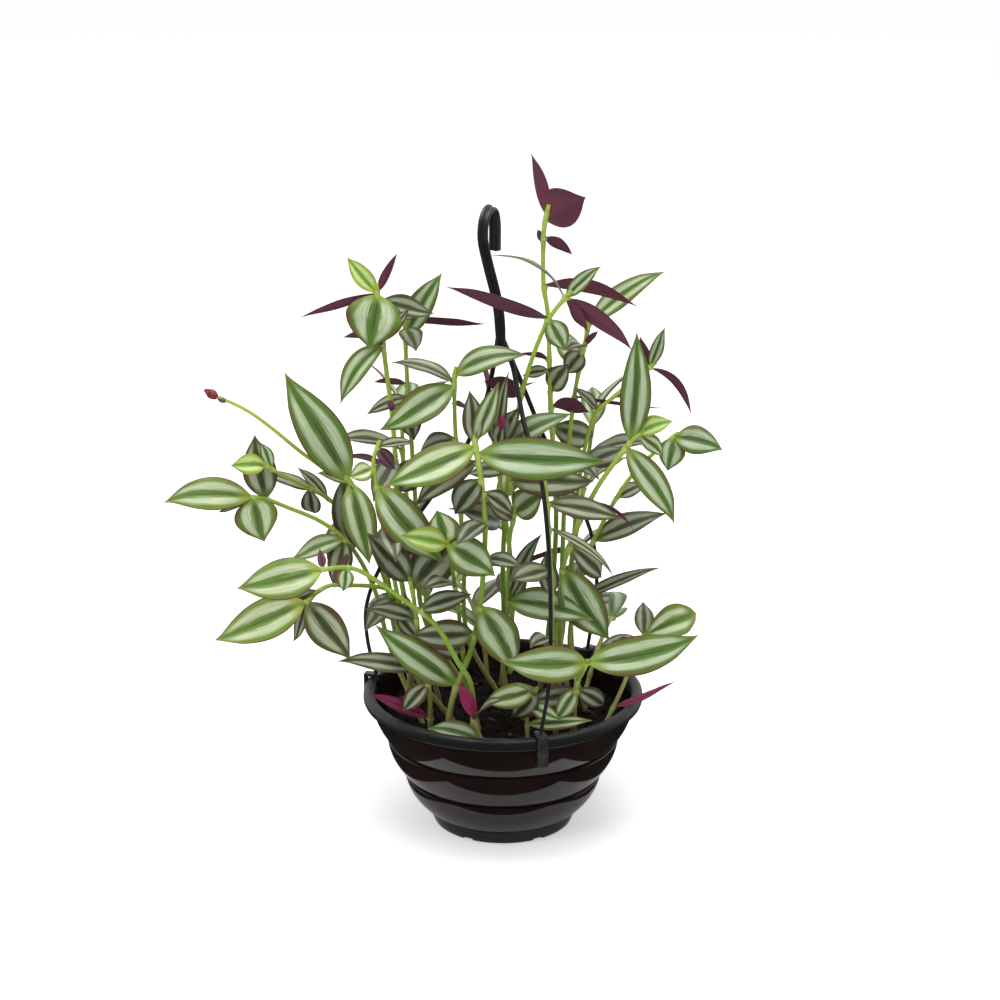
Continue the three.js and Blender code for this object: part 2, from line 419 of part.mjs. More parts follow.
// A pointed oval blade, arched along its midrib and slightly folded, from a sphere of four meridians.
function buildLeaf(base, axes, length, width, arch) {
  const rings = LEAF_SECTIONS.length + 1;
  const geometry = new THREE.SphereGeometry(1, 4, rings);
  const position = geometry.attributes.position;
  const shares = [0, ...LEAF_SECTIONS, 1];
  for (let i = 0; i < position.count; i += 1) {
    const polar = Math.acos(THREE.MathUtils.clamp(position.getY(i), -1, 1));
    const share = shares[Math.round((polar / Math.PI) * rings)];
    const half = (width / 2) * ((share ** 0.6 * (1 - share)) / 0.347);
    const thick = (LEAF_THICKNESS / 2) * Math.min(1, half / 4 + 0.35);
    const side = share === 0 || share === 1 ? 0 : Math.round(position.getX(i) / Math.sin(polar));
    const face = share === 0 || share === 1 ? 0 : Math.round(position.getZ(i) / Math.sin(polar));
    const rise = (arch / 100) * length * 4 * share * (1 - share);
    const point = base.clone().addScaledVector(axes.along, length * share);
    point.addScaledVector(axes.up, rise + Math.abs(side) * LEAF_FOLD * half + face * thick);
    point.addScaledVector(axes.across, side * half);
    position.setXYZ(i, point.x, point.y, point.z);
  }
  return solidOf(geometry);
}

// The largest body of a solid, without the sliver that a bore may cut off a leaf's foot.
function largestBody(solid) {
  return solid.decompose().reduce((kept, body) => (body.volume() > kept.volume() ? body : kept));
}

// Shoot: a stem with its joined leaves, and each leaf that is a mesh of its own beside it.
function buildShoot([name, radius, route, leaves]) {
  const curve = curveThrough(route);
  const bore = solidOf(rodAlong(curve, radius + GAP + 0.45, radius + GAP, STEM_SIDES, STEM_RINGS));
  let shoot = solidOf(rodAlong(curve, radius + 0.45, radius * 0.8, STEM_SIDES, STEM_RINGS));
  const loose = [];
  leaves.forEach(([place, heading, pitch, length, width, lean, arch, tone], index) => {
    const axes = leafAxes(heading, pitch, lean);
    const base = pointOnRod(curve, Math.min(place, 0.98), STEM_RINGS);
    if (tone.endsWith("*")) {
      const clear = radius + GAP;
      const start = base.clone().addScaledVector(axes.along, clear);
      const blade = largestBody(buildLeaf(start, axes, length - clear, width, arch).subtract(bore));
      loose.push({ name: `leaf_${name}_${index}`, blade, tone: tone[0] });
    } else {
      shoot = shoot.add(buildLeaf(base.addScaledVector(axes.along, 0.5), axes, length, width, arch));
    }
  });
  if (name === STALK_SHOOT) shoot = shoot.add(buildStalk());
  return { name: `shoot_${name}`, shoot: shoot.simplify(SIMPLIFY), bore, loose };
}

// The dead flower stalk and the dry bud at its end.
function buildStalk() {
  const stalk = solidOf(rodAlong(curveThrough(STALK_ROUTE), STALK_RADIUS, STALK_RADIUS * 0.8, 5, 6));
  const bud = new THREE.SphereGeometry(DRY_BUD.radius, 8, 6);
  bud.scale(1.5, 0.8, 0.9).translate(DRY_BUD.x, DRY_BUD.y, DRY_BUD.z);
  return stalk.add(solidOf(bud));
}

const built = SHOOTS.map(buildShoot);
add("pot", buildPot(), 0x241814, 0.25);
add("soil", buildSoil(built.map((shoot) => shoot.bore)), 0x1c120c, 0.95);
add("hanger", buildHanger(), 0x1b1b1c, 0.5);
for (const { name, shoot, loose } of built) {
  add(name, shoot, 0x87a83f, 0.5);
  for (const leaf of loose) add(leaf.name, leaf.blade, TONES[leaf.tone], 0.45);
}

export default root;
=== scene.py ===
"""A potted tradescantia: striped leaves on jointed stems, in a banded hanging pot with its hook hanger."""

import logging
import math
from collections.abc import Callable
from dataclasses import dataclass, field
from enum import Enum

import bpy
import numpy as np
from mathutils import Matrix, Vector, noise


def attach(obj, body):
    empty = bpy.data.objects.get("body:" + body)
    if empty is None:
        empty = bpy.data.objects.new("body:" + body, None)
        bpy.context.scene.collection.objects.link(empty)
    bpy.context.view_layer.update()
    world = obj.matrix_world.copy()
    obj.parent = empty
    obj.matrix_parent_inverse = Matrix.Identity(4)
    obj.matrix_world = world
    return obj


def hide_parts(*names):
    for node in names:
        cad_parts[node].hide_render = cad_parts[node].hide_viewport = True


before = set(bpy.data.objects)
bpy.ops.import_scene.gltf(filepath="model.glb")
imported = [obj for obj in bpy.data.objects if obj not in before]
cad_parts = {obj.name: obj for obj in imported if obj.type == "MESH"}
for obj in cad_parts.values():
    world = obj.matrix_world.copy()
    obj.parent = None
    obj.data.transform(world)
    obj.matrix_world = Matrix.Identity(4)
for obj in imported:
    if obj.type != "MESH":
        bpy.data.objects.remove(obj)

LOG = logging.getLogger("tradescantia")
MM = 0.001
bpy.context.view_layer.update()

Colour = tuple[float, float, float]
Point = tuple[float, float, float]
Radius = Callable[[np.ndarray, np.ndarray], np.ndarray]
Inputs = dict[str | int, object]

# The highest share of a stem at which a joint, and a blade, can stand.
LAST_JOINT = 0.985
LAST_BLADE = 0.98

# The roundness at the base and the point at the tip of a spoon-shaped leaf.
SPOON = (0.95, 0.55)


# ---------------------------------------------------------------- Blender helpers


def activate(*things: bpy.types.Object) -> None:
    """Select these objects and nothing else, with the first of them active."""
    if bpy.context.mode != "OBJECT":
        bpy.ops.object.mode_set(mode="OBJECT")
    for thing in bpy.context.selected_objects:
        thing.select_set(False)
    for thing in things:
        thing.select_set(True)
    if things:
        bpy.context.view_layer.objects.active = things[0]


def primitive(operator: Callable[..., object], **settings: object) -> bpy.types.Object:
    """Add a mesh primitive with nothing else selected.

    Args:
        operator: the operator that adds it.
        settings: the operator's settings by name.

    Returns:
        The new object.
    """
    activate()
    operator(**settings)
    return bpy.context.active_object


def apply_modifier(thing: bpy.types.Object, kind: str, **settings: object) -> None:
    """Add a modifier, set it up and apply it.

    Args:
        thing: the object to change.
        kind: the modifier's type, such as "BEVEL".
        settings: the modifier's own properties by name.
    """
    activate(thing)
    modifier = thing.modifiers.new(kind.lower(), kind)
    for key, value in settings.items():
        setattr(modifier, key, value)
    bpy.ops.object.modifier_apply(modifier=modifier.name)


def seat(thing: bpy.types.Object) -> None:
    """Put an object's place, turn and scale into its mesh."""
    activate(thing)
    bpy.ops.object.transform_apply(location=True, rotation=True, scale=True)


def rename(thing: bpy.types.Object, name: str) -> bpy.types.Object:
    """Name an object and its mesh, and return the object."""
    thing.name = name
    thing.data.name = name
    return thing


def join(parts: list[bpy.types.Object], name: str) -> bpy.types.Object:
    """Join several objects into the first of them, which is returned under a new name."""
    activate(*parts)
    bpy.ops.object.join()
    return rename(parts[0], name)


def smooth(thing: bpy.types.Object, degrees: float) -> None:
    """Shade an object smooth, and keep the edges sharper than this angle."""
    activate(thing)
    bpy.ops.object.shade_smooth_by_angle(angle=math.radians(degrees))


def present(thing: bpy.types.Object, slot: str, node: str) -> None:
    """Put a finished piece on the one body in place of its CAD node, which is hidden.

    Args:
        thing: the finished piece.
        slot: the name of its material slot, which is only logged.
        node: the CAD node it replaces.
    """
    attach(thing, "root")
    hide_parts(node)
    LOG.info("%s: %d faces, slot %s", thing.name, len(thing.data.polygons), slot)


# ---------------------------------------------------------------- meshes as patterns


class Route:
    """A smooth curve through points, measured by its length."""

    def __init__(self, points: list[Point]) -> None:
        """Lay a Catmull-Rom curve through the points."""
        knots = [np.array(point, float) for point in points]
        knots = [2 * knots[0] - knots[1], *knots, 2 * knots[-1] - knots[-2]]
        steps = np.linspace(0, 1, 16, endpoint=False)[:, None]
        runs = []
        for before, start, end, after in zip(knots, knots[1:], knots[2:], knots[3:]):
            leave = (end - before) / 2
            arrive = (after - start) / 2
            cubic = 2 * start - 2 * end + leave + arrive
            square = 3 * end - 3 * start - 2 * leave - arrive
            runs.append(cubic * steps**3 + square * steps**2 + leave * steps + start)
        self.line = np.concatenate([*runs, knots[-2][None, :]])
        lengths = np.linalg.norm(np.diff(self.line, axis=0), axis=1)
        self.reached = np.concatenate([[0.0], np.cumsum(lengths)])
        self.length = float(self.reached[-1])
        self._carry_frames()

    def _carry_frames(self) -> None:
        """Carry a side direction along the line without twisting it."""
        tangents = np.gradient(self.line, axis=0)
        tangents /= np.linalg.norm(tangents, axis=1)[:, None]
        side = np.cross(tangents[0], (0.0, 1.0, 0.0))
        sides = []
        for tangent in tangents:
            side = side - tangent * side.dot(tangent)
            side = side / np.linalg.norm(side)
            sides.append(side)
        self.tangents = tangents
        self.sides = np.array(sides)

    def at(self, share: float) -> np.ndarray:
        """The point at a share of the length."""
        return self._read(self.line, np.array([share]))[0]

    def _read(self, table: np.ndarray, shares: np.ndarray) -> np.ndarray:
        """Interpolate a table that runs along the line at these shares of its length."""
        places = np.clip(shares, 0, 1) * self.length
        return np.stack([np.interp(places, self.reached, table[:, axis]) for axis in range(3)], -1)

    def wrap(self, shares: np.ndarray, angles: np.ndarray, radii: np.ndarray) -> np.ndarray:
        """Points round the curve.

        Args:
            shares: how far along each point lies, as a share of the length.
            angles: its angle round the curve.
            radii: its distance from the curve.

        Returns:
            The points, one row each.
        """
        middle = self._read(self.line, shares)
        side = self._read(self.sides, shares)
        other = np.cross(self._read(self.tangents, shares), side)
        out = side * np.cos(angles)[:, None] + other * np.sin(angles)[:, None]
        return middle + out * radii[:, None]


@dataclass
class Pattern:
    """A mesh modelled once, as arrays, from which bent copies are made."""

    vertices: np.ndarray
    faces: list[tuple[int, ...]]

    @classmethod
    def taken_from(cls, thing: bpy.types.Object) -> "Pattern":
        """Read an object's mesh into arrays and remove the object."""
        flat = np.zeros(len(thing.data.vertices) * 3)
        thing.data.vertices.foreach_get("co", flat)
        faces = [tuple(polygon.vertices) for polygon in thing.data.polygons]
        bpy.data.objects.remove(thing)
        return cls(flat.reshape(-1, 3), faces)

    @classmethod
    def blade(cls) -> "Pattern":
        """Model a flat closed leaf blade from a grid given a thickness."""
        grid = primitive(
            bpy.ops.mesh.primitive_grid_add, x_subdivisions=12, y_subdivisions=22, size=2
        )
        apply_modifier(grid, "SOLIDIFY", thickness=0.1, offset=-1.0)
        return cls.taken_from(grid)

    @classmethod
    def tube(cls, sides: int, rings: int) -> "Pattern":
        """Model a straight closed tube of even rings, from a cylinder whose upright edges are cut."""
        tube = primitive(bpy.ops.mesh.primitive_cylinder_add, vertices=sides, radius=1, depth=1)
        bpy.ops.object.mode_set(mode="EDIT")
        bpy.ops.mesh.select_all(action="DESELECT")
        bpy.ops.object.mode_set(mode="OBJECT")
        points = tube.data.vertices
        for edge in tube.data.edges:
            low, high = (points[index].co.z for index in edge.vertices)
            edge.select = abs(low - high) > 0.5
        bpy.ops.object.mode_set(mode="EDIT")
        bpy.context.tool_settings.mesh_select_mode = (False, True, False)
        bpy.ops.mesh.subdivide(number_cuts=rings - 1)
        bpy.ops.object.mode_set(mode="OBJECT")
        return cls.taken_from(tube)

    def follow(self, route: Route, radius: Radius) -> tuple[np.ndarray, np.ndarray]:
        """Bend a straight tube onto a route.

        Args:
            route: the curve it follows.
            radius: gives the radius from the shares along and the angles round.

        Returns:
            The bent vertices, and a UV pair for each: round, then along.
        """
        shares = self.vertices[:, 2] + 0.5
        angles = np.arctan2(self.vertices[:, 1], self.vertices[:, 0])
        places = route.wrap(shares, angles, radius(shares, angles))
        return places, np.stack([np.abs(angles) / math.pi, shares], -1)


@dataclass
class Harvest:
    """Gathers bent copies of patterns, with their named numbers, into one mesh."""

    vertices: list[np.ndarray] = field(default_factory=list)
    faces: list[tuple[int, ...]] = field(default_factory=list)
    charts: list[np.ndarray] = field(default_factory=list)
    traits: dict[str, list[np.ndarray]] = field(default_factory=dict)
    finishes: list[int] = field(default_factory=list)
    count: int = 0

    def add(
        self,
        pattern: Pattern,
        places: np.ndarray,
        chart: np.ndarray | None = None,
        finish: int = 0,
        **traits: object,
    ) -> None:
        """Add one bent copy of a pattern.

        Args:
            pattern: what it was bent from.
            places: its vertices, in millimetres.
            chart: a UV pair for each vertex; all zero if not given.
            finish: the material slot of its faces.
            traits: named numbers, one for each vertex or one for all.
        """
        self.vertices.append(places * MM)
        self.faces += [tuple(index + self.count for index in face) for face in pattern.faces]
        self.charts.append(np.zeros((len(places), 2)) if chart is None else chart)
        for key, values in traits.items():
            self.traits.setdefault(key, []).append(np.broadcast_to(values, len(places)))
        self.finishes += [finish] * len(pattern.faces)
        self.count += len(places)

    def build(self, name: str, *materials: bpy.types.Material, sharp: float = 60.0) -> bpy.types.Object:
        """Make the gathered mesh.

        Args:
            name: the new object's name.
            materials: its materials, in slot order.
            sharp: the angle above which its edges stay sharp, in degrees.

        Returns:
            The new object, shaded smooth.
        """
        mesh = bpy.data.meshes.new(name)
        mesh.from_pydata(np.concatenate(self.vertices).tolist(), [], self.faces)
        corners = np.zeros(len(mesh.loops), dtype=np.int32)
        mesh.loops.foreach_get("vertex_index", corners)
        chart = np.concatenate(self.charts)[corners].astype(np.float32)
        mesh.uv_layers.new(name="blade").data.foreach_set("uv", chart.ravel())
        for key, values in self.traits.items():
            trait = mesh.attributes.new(key, "FLOAT", "POINT")
            trait.data.foreach_set("value", np.concatenate(values).astype(np.float32))
        for material in materials:
            mesh.materials.append(material)
        mesh.polygons.foreach_set("material_index", np.array(self.finishes, dtype=np.int32))
        mesh.update()
        thing = bpy.data.objects.new(name, mesh)
        bpy.context.scene.collection.objects.link(thing)
        smooth(thing, sharp)
        return thing


# ---------------------------------------------------------------- materials


@dataclass
class Term:
    """A value in a node tree. Arithmetic on it adds Math nodes."""

    shade: "Shade"
    socket: bpy.types.NodeSocket

    def __add__(self, other: object) -> "Term":
        """This value plus another."""
        return self.shade.math("ADD", self, other)

    def __sub__(self, other: object) -> "Term":
        """This value less another."""
        return self.shade.math("SUBTRACT", self, other)

    def __mul__(self, other: object) -> "Term":
        """This value times another."""
        return self.shade.math("MULTIPLY", self, other)

    def __abs__(self) -> "Term":
        """This value without its sign."""
        return self.shade.math("ABSOLUTE", self, 0.0)


@dataclass
class Shade:
    """Short calls that build one node tree."""

    tree: bpy.types.NodeTree

    def feed(self, node: bpy.types.Node, values: Inputs) -> None:
        """Link each named input of a node to a Term, or give it a plain value."""
        for key, value in values.items():
            socket = node.inputs[key]
            if isinstance(value, Term):
                self.tree.links.new(value.socket, socket)
            else:
                socket.default_value = (*value, 1.0) if socket.type == "RGBA" else value

    def node(self, kind: str, values: Inputs, **settings: object) -> bpy.types.Node:
        """Add a shader node, set its own properties and feed its inputs."""
        made = self.tree.nodes.new("ShaderNode" + kind)
        for key, value in settings.items():
            setattr(made, key, value)
        self.feed(made, values)
        return made

    def term(self, kind: str, values: Inputs, out: str | int = 0, **settings: object) -> Term:
        """One output of a new shader node."""
        return Term(self, self.node(kind, values, **settings).outputs[out])

    def math(self, operation: str, first: object, second: object) -> Term:
        """A Math node's result."""
        return self.term("Math", {0: first, 1: second}, operation=operation)

    def step(
        self, value: object, low: object, high: object, start: float = 0.0, end: float = 1.0
    ) -> Term:
        """A smooth step from start to end, while a value goes from low to high."""
        keys = ("Value", "From Min", "From Max", "To Min", "To Max")
        values = dict(zip(keys, (value, low, high, start, end)))
        return self.term("MapRange", values, "Result", interpolation_type="SMOOTHSTEP")

    def mix(self, share: object, first: object, second: object, blend: str = "MIX") -> Term:
        """Two colours mixed by a share."""
        values = {0: share, 6: first, 7: second}
        return self.term("Mix", values, 2, data_type="RGBA", blend_type=blend, clamp_factor=True)

    def speckle(self, place: object, scale: object, detail: float = 2.0, rough: float = 0.5) -> Term:
        """A noise from 0 to 1 at a place."""
        values = {"Vector": place, "Scale": scale, "Detail": detail, "Roughness": rough}
        return self.term("TexNoise", values, "Fac")

    def vector(self, x: object, y: object, z: object = 0.0) -> Term:
        """A vector from three numbers."""
        return self.term("CombineXYZ", {0: x, 1: y, 2: z})

    def apart(self, vector: Term) -> list[Term]:
        """A vector's three numbers."""
        return [Term(self, out) for out in self.node("SeparateXYZ", {0: vector}).outputs]

    def place(self) -> Term:
        """The Object coordinates."""
        return self.term("TexCoord", {}, "Object")

    def chart(self) -> Term:
        """The piece's own UV map."""
        return self.term("UVMap", {}, uv_map="blade")

    def trait(self, name: str) -> Term:
        """A named number kept on the mesh."""
        return self.term("Attribute", {}, "Fac", attribute_name=name)

    def bump(self, height: Term, strength: float, distance: float) -> Term:
        """A Bump node's normal."""
        return self.term("Bump", {"Strength": strength, "Distance": distance, "Height": height})

    def group(self, tree: bpy.types.NodeTree, values: Inputs) -> dict[str, Term]:
        """Place a node group, feed its inputs and return its outputs by name."""
        outputs = self.node("Group", values, node_tree=tree).outputs
        return {out.name: Term(self, out) for out in outputs}

    def mottled(self, tree: bpy.types.NodeTree, stain: float, grain: float) -> tuple[Term, Term]:
        """The mottle group's stain and grain, at these two scales."""
        values = {"Place": self.place(), "Stain Scale": stain, "Grain Scale": grain}
        spots = self.group(tree, values)
        return spots["Stain"], spots["Grain"]


@dataclass
class Group:
    """A shader node group to be: its tree, a Shade on it, its inputs and its output node."""

    name: str
    kinds: dict[str, str]
    results: tuple[str, ...]

    def __post_init__(self) -> None:
        """Start the tree, with a socket for each input, and a number for each result."""
        self.tree = bpy.data.node_groups.new(self.name, "ShaderNodeTree")
        for way, sockets in (("INPUT", self.kinds), ("OUTPUT", dict.fromkeys(self.results, "Float"))):
            for key, kind in sockets.items():
                self.tree.interface.new_socket(key, in_out=way, socket_type="NodeSocket" + kind)
        self.shade = Shade(self.tree)
        given = self.tree.nodes.new("NodeGroupInput").outputs
        self.given = {key: Term(self.shade, given[key]) for key in self.kinds}
        self.end = self.tree.nodes.new("NodeGroupOutput")


def leaf_bands_group() -> bpy.types.NodeTree:
    """The stripes of a leaf blade, from its UV map and its own random number."""
    results = ("Silver", "Margin", "Rib", "Edge", "Base", "Tip", "Vein")
    group = Group("leaf_bands", {"Chart": "Vector", "Luck": "Float"}, results)
    shade = group.shade
    across, along, _ = shade.apart(group.given["Chart"])
    luck = group.given["Luck"] * 57.0

    def grain(wide: float, long: float, detail: float, rough: float = 0.5) -> Term:
        """A noise with these many cells across the blade and along it."""
        return shade.speckle(shade.vector(across * wide, along * long, luck), 1.0, detail, rough)

    off = abs(across * 2.0 - 1.0)
    slow = grain(5.0, 2.6, 1.0)
    fine = grain(46.0, 2.2, 3.0, 0.6)
    streak = grain(60.0, 5.0, 4.0, 0.7)
    cells = grain(70.0, 110.0, 2.0)
    wobble = (slow - 0.5) * 0.22 + (fine - 0.5) * 0.34 + (streak - 0.5) * 0.3
    place = off + wobble
    inner = along * 0.08 + 0.2
    begins = shade.step(place, inner - 0.08, inner + 0.11)
    ends = shade.step(place, 0.58, 0.76, 1.0, 0.0)
    reach = shade.step(along, 0.0, 0.2) * shade.step(along, 0.74, 0.95, 1.0, 0.0)
    broken = shade.step(fine + streak, 0.72, 1.2, 0.66, 1.0)
    thin = shade.step(off + (fine - 0.5) * 0.16, 0.015, 0.085, 1.0, 0.0)
    thread = shade.step(off + wobble * 0.3, 0.9, 0.97)
    flush = shade.step(off + wobble * 0.6, 0.66, 1.0, 0.0, 0.6) * shade.step(slow, 0.38, 0.62)
    values = {
        "Silver": begins * ends * reach * broken,
        "Margin": shade.step(place, 0.5, 0.8),
        "Rib": thin * shade.step(along, 0.5, 0.85, 1.0, 0.0),
        "Edge": shade.math("MAXIMUM", thread, flush),
        "Base": shade.step(along, 0.0, 0.22, 1.0, 0.0),
        "Tip": shade.step(along, 0.9, 0.99),
        "Vein": fine * 0.6 + cells * 0.4,
    }
    shade.feed(group.end, values)
    return group.tree


def mottle_group() -> bpy.types.NodeTree:
    """A soft large stain and a fine grain, for whatever is not one even colour."""
    kinds = {"Place": "Vector", "Stain Scale": "Float", "Grain Scale": "Float"}
    group = Group("mottle", kinds, ("Stain", "Grain"))
    for key, detail in (("Stain", 3.0), ("Grain", 5.0)):
        scale = group.given[key + " Scale"]
        group.shade.feed(group.end, {key: group.shade.speckle(group.given["Place"], scale, detail, 0.6)})
    return group.tree


@dataclass(frozen=True)
class Finish:
    """A material. Each kind of finish says what its Principled node is given."""

    name: str

    def build(self, group: bpy.types.NodeTree | None = None) -> bpy.types.Material:
        """Make the material.

        Args:
            group: the node group that patterns it, if it has one.

        Returns:
            The material.
        """
        material = bpy.data.materials.new(self.name)
        material.use_nodes = True
        shade = Shade(material.node_tree)
        shade.feed(material.node_tree.nodes["Principled BSDF"], self.inputs(shade, group))
        return material

    def inputs(self, shade: Shade, group: bpy.types.NodeTree | None) -> Inputs:
        """The Principled node's inputs by name."""
        raise NotImplementedError


@dataclass(frozen=True)
class LeafFinish(Finish):
    """One kind of leaf blade: stripes above, a plain flushed colour below."""

    slot: str
    centre: Colour
    margin: Colour
    silver: Colour
    rib: Colour
    edge: Colour
    base: Colour
    tip: Colour
    under: Colour
    gloss: float = 0.4

    def inputs(self, shade: Shade, group: bpy.types.NodeTree) -> Inputs:
        """The Principled node's inputs by name."""
        luck = shade.trait("luck")
        bands = shade.group(group, {"Chart": shade.chart(), "Luck": luck})
        above = shade.mix(bands["Margin"], self.centre, self.margin)
        above = shade.mix(bands["Silver"], above, self.silver)
        above = shade.mix(0.45, above, bands["Vein"], "OVERLAY")
        above = shade.mix(bands["Rib"] * 0.75, above, self.rib)
        for key, colour in (("Base", self.base), ("Edge", self.edge), ("Tip", self.tip)):
            above = shade.mix(bands[key], above, colour)
        below = shade.mix(0.4, self.under, bands["Vein"], "OVERLAY")
        below = shade.mix(bands["Base"] * 0.5, below, self.base)
        both = shade.mix(shade.trait("underside"), above, below)
        tint = shade.mix(luck, (0.76, 0.8, 0.8), (1.12, 1.08, 1.0))
        return {
            "Base Color": shade.mix(1.0, both, tint, "MULTIPLY"),
            "Roughness": bands["Silver"] * -0.1 + (self.gloss + 0.03),
            "Normal": shade.bump(bands["Vein"], 0.5, 0.0004),
        }


@dataclass(frozen=True)
class StemFinish(Finish):
    """The stems, from the woody foot up to the fresh tips."""

    name: str = "stem_flesh"
    fresh: Colour = (0.34, 0.49, 0.05)
    grown: Colour = (0.2, 0.32, 0.03)
    foot: Colour = (0.33, 0.29, 0.11)
    blush: Colour = (0.3, 0.1, 0.06)
    sheath: Colour = (0.42, 0.52, 0.14)

    def inputs(self, shade: Shade, group: bpy.types.NodeTree) -> Inputs:
        """The Principled node's inputs by name."""
        stain, grain = shade.mottled(group, 60.0, 900.0)
        height = shade.apart(shade.place())[2]
        stained = height + (stain - 0.5) * 0.06
        around, along, _ = shade.apart(shade.chart())
        lines = shade.speckle(shade.vector(around * 14.0, along * 3.0), 1.0, 3.0)
        flesh = shade.mix(shade.step(height, 0.13, 0.3), self.grown, self.fresh)
        flesh = shade.mix(shade.step(stained, 0.085, 0.135, 0.85, 0.0), flesh, self.foot)
        flesh = shade.mix(shade.step(stain, 0.56, 0.75, 0.0, 0.35), flesh, self.blush)
        flesh = shade.mix(0.3, flesh, lines, "OVERLAY")
        flesh = shade.mix(shade.trait("collar") * 0.7, flesh, self.sheath)
        return {
            "Base Color": shade.mix(shade.trait("joint") * 0.45, flesh, self.blush),
            "Roughness": shade.step(grain, 0.2, 0.8, 0.32, 0.5),
            "Normal": shade.bump(lines, 0.25, 0.0004),
        }


@dataclass(frozen=True)
class PlasticFinish(Finish):
    """Moulded black plastic, with handling marks."""

    colour: Colour
    worn: Colour
    gloss: float
    grain: float

    def inputs(self, shade: Shade, group: bpy.types.NodeTree) -> Inputs:
        """The Principled node's inputs by name."""
        stain, grain = shade.mottled(group, 35.0, 1600.0)
        return {
            "Base Color": shade.mix(shade.step(stain, 0.45, 0.8), self.colour, self.worn),
            "Roughness": (stain + grain) * (self.grain * 0.2) + self.gloss,
            "Normal": shade.bump(grain, self.grain, 0.0003),
        }


@dataclass(frozen=True)
class PotFinish(Finish):
    """One moulding in two finishes: a glossy brown wall, and a rim and inside of dull black."""

    name: str = "pot_moulding"
    wall: Colour = (0.0075, 0.005, 0.0044)
    glow: Colour = (0.015, 0.007, 0.0055)
    rim: Colour = (0.008, 0.008, 0.0085)
    dust: Colour = (0.08, 0.07, 0.065)
    rim_from: float = 81.6

    def inputs(self, shade: Shade, group: bpy.types.NodeTree) -> Inputs:
        """The Principled node's inputs by name."""
        stain, grain = shade.mottled(group, 28.0, 1500.0)
        place = shade.place()
        low, high = (self.rim_from - 0.3) * MM, (self.rim_from + 0.3) * MM
        above = shade.step(shade.apart(place)[2], low, high)
        is_rim = shade.math("MAXIMUM", above, shade.trait("inside"))
        wall = shade.mix(shade.step(stain, 0.4, 0.75), self.wall, self.glow)
        specks = shade.step(shade.speckle(place, 300.0), 0.62, 0.8, 0.0, 0.1)
        wall = shade.mix(specks, wall, self.dust)
        rim = shade.mix(shade.step(grain, 0.52, 0.75, 0.0, 0.3), self.rim, self.dust)
        smeared = shade.step(stain, 0.3, 0.8, 0.05, 0.12)
        scuffed = shade.step(grain, 0.2, 0.8, 0.3, 0.5)
        return {
            "Base Color": shade.mix(is_rim, wall, rim),
            "Roughness": shade.term("Mix", {0: is_rim, 2: smeared, 3: scuffed}, data_type="FLOAT"),
            "Normal": shade.bump(grain * (is_rim * 0.9 + 0.02), 0.5, 0.0004),
        }


@dataclass(frozen=True)
class PeatFinish(Finish):
    """Damp peat, bark or fibre: dark, rough and grainy."""

    dark: Colour
    light: Colour
    scale: float = 260.0
    depth: float = 0.0012

    def inputs(self, shade: Shade, group: bpy.types.NodeTree) -> Inputs:
        """The Principled node's inputs by name."""
        stain, grain = shade.mottled(group, self.scale, self.scale * 5)
        colour = shade.mix(shade.step(grain, 0.5, 0.72), self.dark, self.light)
        return {
            "Base Color": shade.mix(shade.step(stain, 0.35, 0.65, 0.6, 0.0), colour, self.dark),
            "Roughness": shade.step(grain, 0.2, 0.8, 0.7, 0.95),
            "Specular IOR Level": 0.15,
            "Normal": shade.bump(stain + grain, 0.9, self.depth),
        }


@dataclass(frozen=True)
class PetalFinish(Finish):
    """Bud flesh in two colours, which a stain between two levels mixes."""

    first: Colour
    second: Colour
    low: float
    high: float

    def inputs(self, shade: Shade, group: bpy.types.NodeTree) -> Inputs:
        """The Principled node's inputs by name."""
        stain, grain = shade.mottled(group, 400.0, 2500.0)
        colour = shade.mix(shade.step(stain, self.low, self.high), self.first, self.second)
        return {
            "Base Color": shade.mix(0.4, colour, grain, "OVERLAY"),
            "Roughness": 0.5,
            "Normal": shade.bump(grain, 0.5, 0.0004),
        }


@dataclass(frozen=True)
class SheetFinish(Finish):
    """A plain matt sheet, which may look whiter to the eye than its light makes it."""

    colour: Colour
    lift: float

    def inputs(self, shade: Shade, group: None) -> Inputs:
        """The Principled node's inputs by name."""
        return {
            "Base Color": self.colour,
            "Roughness": 0.9,
            "Specular IOR Level": 0.0,
            "Emission Color": (1.0, 1.0, 1.0),
            "Emission Strength": shade.term("LightPath", {}, "Is Camera Ray") * self.lift,
        }


class Tone(Enum):
    """The kinds of leaf on the plant, by the letter that a leaf's tone starts with. SHADED is partly painted
    shade.
    """

    STRIPED = "G"
    # SHADED is the striped leaf in darker colours: partly the darker colour of older leaves, partly painted
    # shade for leaves low and deep in the plant.
    SHADED = "D"
    BURGUNDY = "P"
    CRIMSON = "M"
    YOUNG = "Y"
    PALE = "L"


